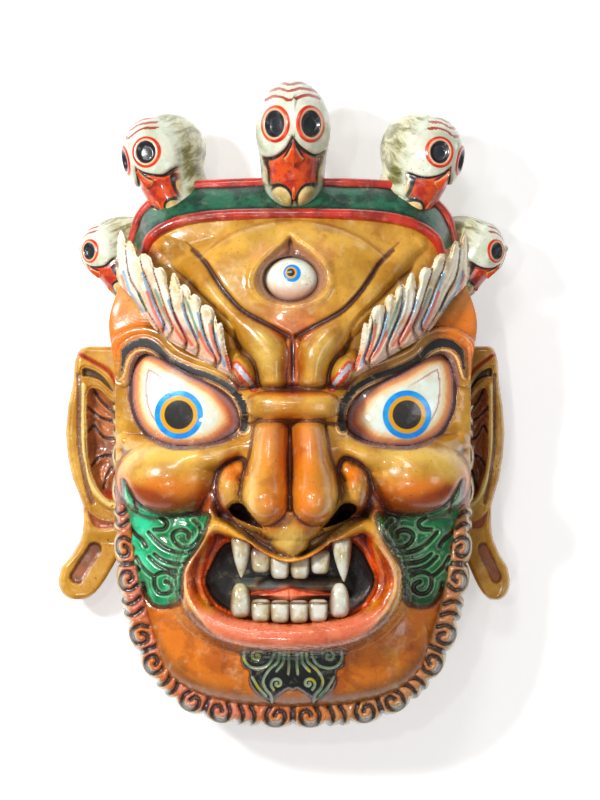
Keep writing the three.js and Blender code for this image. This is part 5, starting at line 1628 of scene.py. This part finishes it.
def skull_paint(s):
    """Mint white bone, red eye rings, black sockets, orange flesh and cream jaw bones, dirtier to the back."""
    front = s.value("front")
    streaks = s.node("ShaderNodeMapping")
    s.feed(streaks.inputs["Vector"], s.vector("local"))
    streaks.inputs["Scale"].default_value = (0.10, 0.10, 0.03)
    strokes = s.noise(1.0, 5, 0.65, 0.5, streaks.outputs["Vector"])
    white = s.mix(s.step(s.noise(50, 3, 0.6), 0.40, 0.64), rgb(224, 226, 208), rgb(196, 206, 182))
    mint = s.step(s.value("up"), 20, 36)
    white = s.mix(s.math("MULTIPLY", mint, 0.6), white, rgb(176, 208, 184))
    back = s.mix(s.step(strokes, 0.42, 0.60), rgb(206, 204, 168), OLIVE)
    back = s.mix(s.math("MULTIPLY", s.step(strokes, 0.60, 0.70), 0.8), back, rgb(66, 66, 40))
    behind = s.math("ADD", s.value("rear"), s.math("MULTIPLY", s.math("SUBTRACT", strokes, 0.5), 1.6))
    bone = s.mix(s.step(behind, 0.25, 1.0), white, back)
    flesh = s.mix(s.step(s.noise(110, 4, 0.6), 0.42, 0.62), rgb(226, 88, 28), rgb(176, 44, 22))
    below = s.math("MULTIPLY", s.step(s.value("edge"), 0.1, -0.6), front)
    colour = s.mix(below, bone, s.mix(s.step(s.value("up"), -40, -64), rgb(200, 190, 150), rgb(150, 130, 84)))
    dark = s.math("MULTIPLY", s.line(s.math("ADD", s.value("edge"), 1.3), 0.9, 0.7), front)
    colour = s.mix(s.math("MULTIPLY", s.step(s.value("flesh"), 0.4, -0.3), below), colour, flesh)
    colour = s.mix(s.math("MULTIPLY", s.line(s.math("SUBTRACT", s.value("flesh"), 0.8), 0.5, 0.6), below), colour, INK)
    bones = s.math("MINIMUM", s.value("oval"), s.value("sliver"))
    colour = s.mix(s.math("MULTIPLY", s.line(s.math("SUBTRACT", bones, 0.9), 0.7, 0.6), below), colour, INK)
    colour = s.mix(s.math("MULTIPLY", s.step(bones, 0.3, -0.4), below), colour, s.mix(s.step(s.noise(90), 0.4, 0.6), rgb(240, 214, 152), rgb(196, 178, 110)))
    colour = s.mix(dark, colour, INK)
    colour = s.mix(s.math("MULTIPLY", s.step(s.value("nose_dark"), -0.3, 0.8), below), colour, rgb(44, 26, 40))
    colour = s.mix(s.math("MULTIPLY", s.step(s.value("nose"), 0.03, 0.2), below), colour, s.mix(s.step(s.value("nose"), 0.1, 0.5), rgb(238, 160, 104), rgb(206, 74, 36)))
    ring = s.math("MULTIPLY", s.step(s.value("ring"), 0.2, -0.4), front)
    colour = s.mix(ring, colour, s.mix(s.step(s.noise(120), 0.45, 0.6), rgb(214, 70, 34), rgb(196, 44, 34)))
    colour = s.mix(s.math("MULTIPLY", s.step(s.value("socket"), 1.22, 1.12), front), colour, rgb(226, 176, 140))
    colour = s.mix(s.math("MULTIPLY", s.step(s.value("socket"), 1.06, 0.98), front), colour, rgb(30, 36, 42))
    return s.mix(s.math("MULTIPLY", s.line(s.value("wrinkle"), 0.45, 0.45), front), colour, rgb(168, 70, 58))


SKULLS = [("skull_centre", 0, 0, 38.8, 30, 0, 1.0)]
for hand, label in ((-1, "left"), (1, "right")):
    SKULLS.append((f"skull_upper_{label}", hand, 0.75 * HALF_WIDTH, 19, 8, 45, 0.85))
    SKULLS.append((f"skull_side_{label}", hand, HALF_WIDTH + 4, -53, -10, 75, 0.65))


def build_skulls(facets):
    for name, hand, x, above, rise, turn, size in SKULLS:
        rings = int(facets * (1.15 if size == 1 else 0.95))
        p, marks = skull_form(rings, int(rings * 1.45))
        place = (
            Matrix.Rotation(math.radians(-21), 4, "X")
            @ Matrix.Rotation(math.radians(hand * turn), 4, "Y")
            @ Matrix.Rotation(math.radians(38), 4, "X")
        )
        turned = (p * size) @ np.array(place.to_3x3()).T + [hand * x, CROWN_Y + above, EDGE_Z + rise]
        sides = int(rings * 1.45)
        faces = grid_faces(rings, sides, wrap=True)[:, ::-1].tolist()
        faces.append(list(range(sides)))
        faces.append([(rings - 1) * sides + k for k in reversed(range(sides))])
        mesh = new_mesh(name, turned, faces)
        marks["local"] = p
        crevice = np.clip(crevices_of(mesh, 1.2, 1.0), -1, 1.2)
        set_values(mesh, {**marks, "crevice": crevice})
        paint = lacquered("Skull paint", skull_paint, crevice="crevice", patina=0.7, mottle=0.6)
        place_piece(name, mesh, "skull_paint", [name], paint)


# An ear's outline by level: the inner and outer edge, for the wider ear.
EAR_EDGES = [
    (44.8, 128, 162), (43, 128, 165.4), (40, 128, 167.6), (32.7, 128, 170), (18, 128, 171), (8, 128, 173),
    (-1, 128, 175), (-22, 128, 177), (-41, 128, 175.4), (-58.7, 128, 171.4), (-70.8, 128, 166.4), (-79, 128, 163.4),
    (-91, 128, 163),
    (-100, 128, 163.8), (-106, 130, 165.6), (-118, 135.5, 172.6), (-127, 140.5, 180.4), (-136.5, 146, 182.8), (-142, 149.8, 182.4),
    (-147, 154, 180), (-150.5, 158.5, 176.5), (-152.4, 162, 173),
]
EAR_FAN = [
    [(157.2, 15.2), (149.9, 3.1), (136.4, -9.7)], [(159.9, -2.3), (149.9, -10.3), (132.4, -16.4)],
    [(159, -22), (155.5, -17), (151, -22), (145.8, -26.5), (134.4, -27.5)], [(157.2, -48.7), (149.9, -41.3), (135, -39.9)],
    [(147.8, -66.1), (143.8, -53.4), (134.4, -44)],
]
CONCHA = [(158.5, 12), (161, 0), (160.5, -25), (159, -46), (154, -62), (146, -73), (138, -74), (128, -60), (126, -20), (128, 5), (140, 3), (150, 12)]
EAR_TOP_LINE = [(167, 39.4), (155.2, 32.7), (145.8, 27.3), (140.4, 22), (136, 12)]
EAR_POCKET = [(164, 28), (157, 28), (147, 22), (139, 11), (141, 9), (150, 17), (158, 20), (164, 21)]
EAR_WEDGE = [(160.4, -82), (156.6, -93.7), (149.9, -97.8), (139, -97), (132, -96), (132, -91), (141.1, -90.7), (149.9, -89)]
HELIX_GROOVE = [(166.5, 22), (166, 10), (166.2, -27.8), (163.3, -48), (159.9, -64.1), (156, -76)]
INNER_RIM = [(163, 14), (162.8, -10), (162.6, -41), (159.3, -54.7), (152.5, -68.2), (143.5, -77), (134, -80)]
LOBE_PIT = [(154.6, -113.2), (168, -134.1)]


def ear_marks(x, y):
    """The distances that an ear's carving and paint follow."""
    straight = np.array(LOBE_PIT, float)
    return {
        "fan": lines_distance(EAR_FAN, x, y, 10), "concha": outline_distance(CONCHA, x, y, 90, 16),
        "top_line": lines_distance([EAR_TOP_LINE], x, y, 12), "pocket": outline_distance(EAR_POCKET, x, y, 60, 12),
        "wedge": outline_distance(EAR_WEDGE, x, y, 60, 12), "helix": lines_distance([HELIX_GROOVE], x, y, 12),
        "rim": lines_distance([INNER_RIM], x, y, 12), "pit": nearest(straight, x, y, 16)[0] - 5.4,
    }


def build_ears():
    rows, across = ((300, 100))
    for hand, name, reach in ((-1, "ear_left", 1.0), (1, "ear_right", 41 / 55)):
        edges = np.array(EAR_EDGES, float)
        y = np.linspace(edges[0, 0], edges[-1, 0], rows)
        inner = np.interp(-y, -edges[:, 0], edges[:, 1])
        outer = np.interp(-y, -edges[:, 0], edges[:, 2])
        u = np.linspace(0, 1, across)[None, :]
        x = inner[:, None] + (outer - inner)[:, None] * u
        yy = np.repeat(y[:, None], across, 1)
        m = ear_marks(x, yy)
        base = 42 - 4 * smooth_step(-96, -110, yy) + 0 * x
        z = base - 11 * smooth_step(1.5, -6, m["concha"]) + 3.0 * np.exp(-((m["rim"] / 3.0) ** 2))
        z = z - 3.0 * np.exp(-((m["helix"] / 1.4) ** 2)) + 1.0 * np.exp(-(((outer[:, None] - x - 4) / 3.5) ** 2))
        z = z - 6.5 * smooth_step(1.0, -2.5, m["pocket"]) - 2.2 * np.exp(-((m["top_line"] / 1.1) ** 2))
        above = smooth_step(-1, 3, yy - np.interp(x, [136, 140.4, 145.8, 155.2, 167], [12, 22, 27.3, 32.7, 39.4]))
        z = z + 2.2 * above - 4.0 * smooth_step(1.0, -3.0, m["wedge"]) - 3.6 * smooth_step(0.8, -2.2, m["pit"])
        z = z - 1.3 * np.exp(-((m["fan"] / 0.9) ** 2)) * smooth_step(1, -2, m["concha"])
        z = z + 2.0 * np.exp(-(((m["concha"] + 9) / 4) ** 2)) * np.cos(m["fan"] * 0.5) * smooth_step(0, -3, m["concha"])
        round_edge = np.minimum(outer[:, None] - x, 12.0)
        z = z - 6.0 * (1 - np.sqrt(np.clip(1 - (1 - round_edge / 6.0).clip(0, 1) ** 2, 0, 1)))
        ends = np.minimum(np.abs(y - y[0]), np.abs(y - y[-1]))[:, None]
        z = z - 5.0 * (1 - np.sqrt(np.clip(1 - (1 - ends / 5.0).clip(0, 1) ** 2, 0, 1)))
        low_in = smooth_step(-100, -112, yy) * np.clip(1 - (x - inner[:, None]) / 5, 0, 1)
        z = z - 4.0 * (1 - np.sqrt(np.clip(1 - low_in**2, 0, 1)))
        z = z + 0.35 * ripple(x, yy, 9, 2.0)
        back = 24.0
        wall = np.linspace(0, 1, 7)[1:][None, :]
        wall_x = outer[:, None] - 1.5 * wall**2 + 0 * wall
        wall_z = z[:, -1:] + (back - z[:, -1:]) * wall
        rear_x = outer[:, None] - 1.5 + (inner - outer + 1.5)[:, None] * np.linspace(0, 1, 8)[1:][None, :]
        rear_z = back + 0 * rear_x - 1.5 * np.sin(np.linspace(0, math.pi, 8)[1:])[None, :]
        in_x = np.repeat(inner[:, None], 4, 1)
        in_z = back + (z[:, :1] - back) * np.linspace(0, 1, 6)[1:-1][None, :]
        full_x = np.concatenate([x, wall_x, rear_x, in_x], 1)
        full_z = np.concatenate([z, wall_z, rear_z, in_z], 1)
        full_y = np.repeat(y[:, None], full_x.shape[1], 1)
        marks = ear_marks(full_x, full_y)
        marks["rear"] = np.concatenate([0 * x, wall + 0 * wall_x, 1 + 0 * rear_x, 1 + 0 * in_x], 1)
        marks["level"] = full_y
        marks["edge_in"] = np.repeat(outer[:, None], full_x.shape[1], 1) - full_x
        placed = hand * (128 + (full_x - 128) * reach)
        points = np.stack([placed, full_y, full_z], -1).reshape(-1, 3)
        loop = full_x.shape[1]
        faces = grid_faces(rows, loop, wrap=True).tolist()
        faces.append(list(range(loop)))
        faces.append([(rows - 1) * loop + k for k in reversed(range(loop))])
        mesh = new_mesh(name, points, faces)
        face_outwards(mesh)
        values = {key: value.ravel() for key, value in marks.items()}
        set_values(mesh, {**values, "crevice": np.clip(crevices_of(mesh, 1.5, 0.9), -1, 1.2)})
        paint = lacquered("Ear paint", ear_paint, crevice="crevice", patina=0.9, specks=1.6)
        place_piece(name, mesh, "ear_paint", [name], paint)


def ear_paint(s):
    """Gold leaf-like ear with a dusky bowl, a fan of dark lines, a red fold, a brown pit in the lobe and a painted
    highlight along its inner rim.
    """
    gold = s.mix(s.step(s.noise(36, 4, 0.6), 0.38, 0.62), rgb(214, 168, 84), rgb(178, 126, 48))
    gold = s.mix(s.math("MULTIPLY", s.step(s.value("level"), -84, -104), 0.5), gold, rgb(206, 150, 60))
    low = s.math("ADD", s.step(s.value("edge_in"), 4, 8), 0.0)
    colour = s.mix(s.math("MULTIPLY", low, 0.25), gold, OCHRE)
    # A painted highlight in cream along the raised inner rim.
    colour = s.mix(s.math("MULTIPLY", s.step(s.value("rim"), 3.0, 0.8), 0.8), colour, rgb(238, 214, 142))
    colour = s.mix(s.math("MULTIPLY", s.line(s.value("helix"), 0.8, 1.2), 0.8), colour, rgb(132, 92, 82))
    bowl = s.mix(s.step(s.noise(48, 4, 0.6), 0.42, 0.62), rgb(182, 112, 68), rgb(142, 88, 62))
    colour = s.mix(s.step(s.value("concha"), 0.6, -1.4), colour, bowl)
    fan = s.math("MULTIPLY", s.line(s.value("fan"), 0.35, 0.6), s.step(s.value("concha"), 0.0, -1.5))
    colour = s.mix(s.math("MULTIPLY", fan, 0.95), colour, rgb(52, 30, 30))
    foot = s.math("MULTIPLY", s.step(s.value("level"), -64, -72), s.step(s.value("concha"), 0.0, -1.0))
    colour = s.mix(foot, colour, rgb(196, 66, 36))
    colour = s.mix(s.step(s.value("pocket"), 0.4, -1.2), colour, rgb(112, 92, 60))
    colour = s.mix(s.line(s.value("top_line"), 0.8, 0.5), colour, rgb(206, 78, 40))
    colour = s.mix(s.math("MULTIPLY", s.step(s.value("wedge"), 0.3, -0.8), 0.9), colour, rgb(180, 104, 76))
    ragged = s.math("ADD", s.value("pit"), s.math("MULTIPLY", s.math("SUBTRACT", s.noise(120, 4, 0.7), 0.5), 4.0))
    colour = s.mix(s.math("MULTIPLY", s.step(ragged, 0.4, -0.8), 0.9), colour, s.mix(s.step(s.noise(70, 3), 0.4, 0.6), rgb(146, 84, 62), rgb(112, 66, 56)))
    wall = s.mix(s.step(s.noise(50, 4, 0.6), 0.4, 0.6), rgb(150, 100, 44), rgb(70, 46, 26))
    return s.mix(s.step(s.value("rear"), 0.15, 0.6), colour, wall)


class MaskSizes(bpy.types.PropertyGroup):
    """Sizes of the build that a user may change."""

    carving_step: FloatProperty(
        name="Carving step", description="Spacing of the face's points, in millimetres", default=0.72, min=0.5, max=3.0
    )
    kept_faces: FloatProperty(
        name="Kept faces", description="Share of the face's faces kept", default=0.40, subtype="FACTOR", min=0.05, max=1.0
    )
    skull_facets: IntProperty(name="Skull facets", description="Facets round each skull", default=110, min=24, max=200)


class MaskStage(bpy.types.PropertyGroup):
    """The floor, lights and camera."""

    floor_colour: FloatVectorProperty(
        name="Floor colour", description="Colour of the pale floor", subtype="COLOR", size=4, default=(0.92, 0.92, 0.92, 1.0)
    )
    camera_height: FloatProperty(
        name="Camera height", description="Height of the camera over the floor", default=3.6, unit="LENGTH"
    )


class MASK_OT_face(bpy.types.Operator):
    """Build the carved face with its hollow back"""

    bl_idname = "mask.face"
    bl_label = "Face"

    def execute(self, context):
        sizes = context.scene.mask_sizes
        build_face(sizes.carving_step, sizes.kept_faces)
        return {"FINISHED"}


class MASK_OT_eyes(bpy.types.Operator):
    """Build the three eyeballs"""

    bl_idname = "mask.eyes"
    bl_label = "Eyes"

    def execute(self, context):
        build_eyeballs()
        return {"FINISHED"}


class MASK_OT_brows(bpy.types.Operator):
    """Build the two leaves of flame-like brow locks"""

    bl_idname = "mask.brows"
    bl_label = "Brows"

    def execute(self, context):
        build_brows()
        return {"FINISHED"}


class MASK_OT_mouth(bpy.types.Operator):
    """Build the teeth, the tongue and the palate"""

    bl_idname = "mask.mouth"
    bl_label = "Mouth"

    def execute(self, context):
        build_mouth()
        return {"FINISHED"}


class MASK_OT_beard(bpy.types.Operator):
    """Build the curled beard round the jaw"""

    bl_idname = "mask.beard"
    bl_label = "Beard"

    def execute(self, context):
        build_beard()
        return {"FINISHED"}


class MASK_OT_crown(bpy.types.Operator):
    """Build the crown's red rolls and green band"""

    bl_idname = "mask.crown"
    bl_label = "Crown"

    def execute(self, context):
        build_crown()
        return {"FINISHED"}


class MASK_OT_skulls(bpy.types.Operator):
    """Build the five skulls of the crown"""

    bl_idname = "mask.skulls"
    bl_label = "Skulls"

    def execute(self, context):
        build_skulls(context.scene.mask_sizes.skull_facets)
        return {"FINISHED"}


class MASK_OT_ears(bpy.types.Operator):
    """Build the two long ears"""

    bl_idname = "mask.ears"
    bl_label = "Ears"

    def execute(self, context):
        build_ears()
        return {"FINISHED"}


def add_light(name, size, power, place, aim, colour=(1, 1, 1)):
    light = bpy.data.lights.new(name, "AREA")
    light.shape = "RECTANGLE"
    light.size, light.size_y = size
    light.energy = power
    light.color = colour
    holder = bpy.data.objects.new(name, light)
    holder.location = place
    holder.rotation_euler = (Vector(aim) - Vector(place)).to_track_quat("-Z", "Y").to_euler()
    bpy.context.scene.collection.objects.link(holder)


class MASK_OT_stage(bpy.types.Operator):
    """Set the floor, the lights and the camera"""

    bl_idname = "mask.stage"
    bl_label = "Stage"

    def execute(self, context):
        settings = context.scene.mask_stage
        mesh = bpy.data.meshes.new("floor")
        mesh.from_pydata([(-6, -6, 0), (6, -6, 0), (6, 6, 0), (-6, 6, 0)], [], [(0, 1, 2, 3)])
        floor = bpy.data.objects.new("floor", mesh)
        context.scene.collection.objects.link(floor)
        material = bpy.data.materials.new("Pale floor")
        material.use_nodes = True
        shader = material.node_tree.nodes["Principled BSDF"]
        shader.inputs["Base Color"].default_value = settings.floor_colour
        shader.inputs["Roughness"].default_value = 0.9
        shader.inputs["Emission Color"].default_value = (1, 1, 1, 1)
        shader.inputs["Emission Strength"].default_value = 0.45
        mesh.materials.append(material)
        world = bpy.data.worlds.new("studio")
        world.use_nodes = True
        world.node_tree.nodes["Background"].inputs["Color"].default_value = (1, 1, 1, 1)
        world.node_tree.nodes["Background"].inputs["Strength"].default_value = 0.22
        context.scene.world = world
        centre = (MIDDLE_X * MM, 0, 0.1)
        add_light("key_light", (0.24, 0.24), 26, (-0.95, 0.50, 1.35), centre)
        add_light("top_light", (0.4, 0.25), 5, (-0.15, 1.1, 1.5), centre)
        add_light("fill_light", (0.5, 0.5), 3, (1.2, -0.2, 1.4), centre)
        add_light("front_light", (0.16, 0.16), 4, (-0.3, -0.75, 2.0), centre)
        add_light("sparkle_light", (0.07, 0.07), 3, (-0.42, 0.25, 2.1), centre)
        camera = bpy.data.cameras.new("camera")
        camera.sensor_fit = "VERTICAL"
        camera.sensor_height = 24
        distance = settings.camera_height - 0.085
        camera.lens = 24 * distance / 0.6136
        holder = bpy.data.objects.new("camera", camera)
        holder.location = ((MIDDLE_X + 5.4) * MM, 3 * MM, settings.camera_height)
        context.scene.collection.objects.link(holder)
        context.scene.camera = holder
        context.scene.view_settings.view_transform = "Standard"
        return {"FINISHED"}


class MASK_PT_panel(bpy.types.Panel):
    """Lists the mask's pieces"""

    bl_idname = "MASK_PT_panel"
    bl_label = "Dance mask"
    bl_space_type = "VIEW_3D"
    bl_region_type = "UI"
    bl_category = "Mask"

    def draw(self, context):
        for group in (context.scene.mask_sizes, context.scene.mask_stage):
            for name in group.__annotations__:
                self.layout.prop(group, name)
        for operator in STEPS:
            self.layout.operator(operator.bl_idname)


STEPS = (
    MASK_OT_face, MASK_OT_eyes, MASK_OT_brows, MASK_OT_mouth, MASK_OT_beard, MASK_OT_crown, MASK_OT_skulls,
    MASK_OT_ears, MASK_OT_stage,
)
GROUPS = (MaskSizes, MaskStage)


def register():
    for kind in (*GROUPS, *STEPS, MASK_PT_panel):
        bpy.utils.register_class(kind)
    bpy.types.Scene.mask_sizes = PointerProperty(type=MaskSizes)
    bpy.types.Scene.mask_stage = PointerProperty(type=MaskStage)


def unregister():
    del bpy.types.Scene.mask_stage
    del bpy.types.Scene.mask_sizes
    for kind in reversed((*GROUPS, *STEPS, MASK_PT_panel)):
        bpy.utils.unregister_class(kind)


def main():
    register()
    for operator in STEPS:
        group, name = operator.bl_idname.split(".")
        getattr(getattr(bpy.ops, group), name)()


if __name__ == "__main__":
    main()
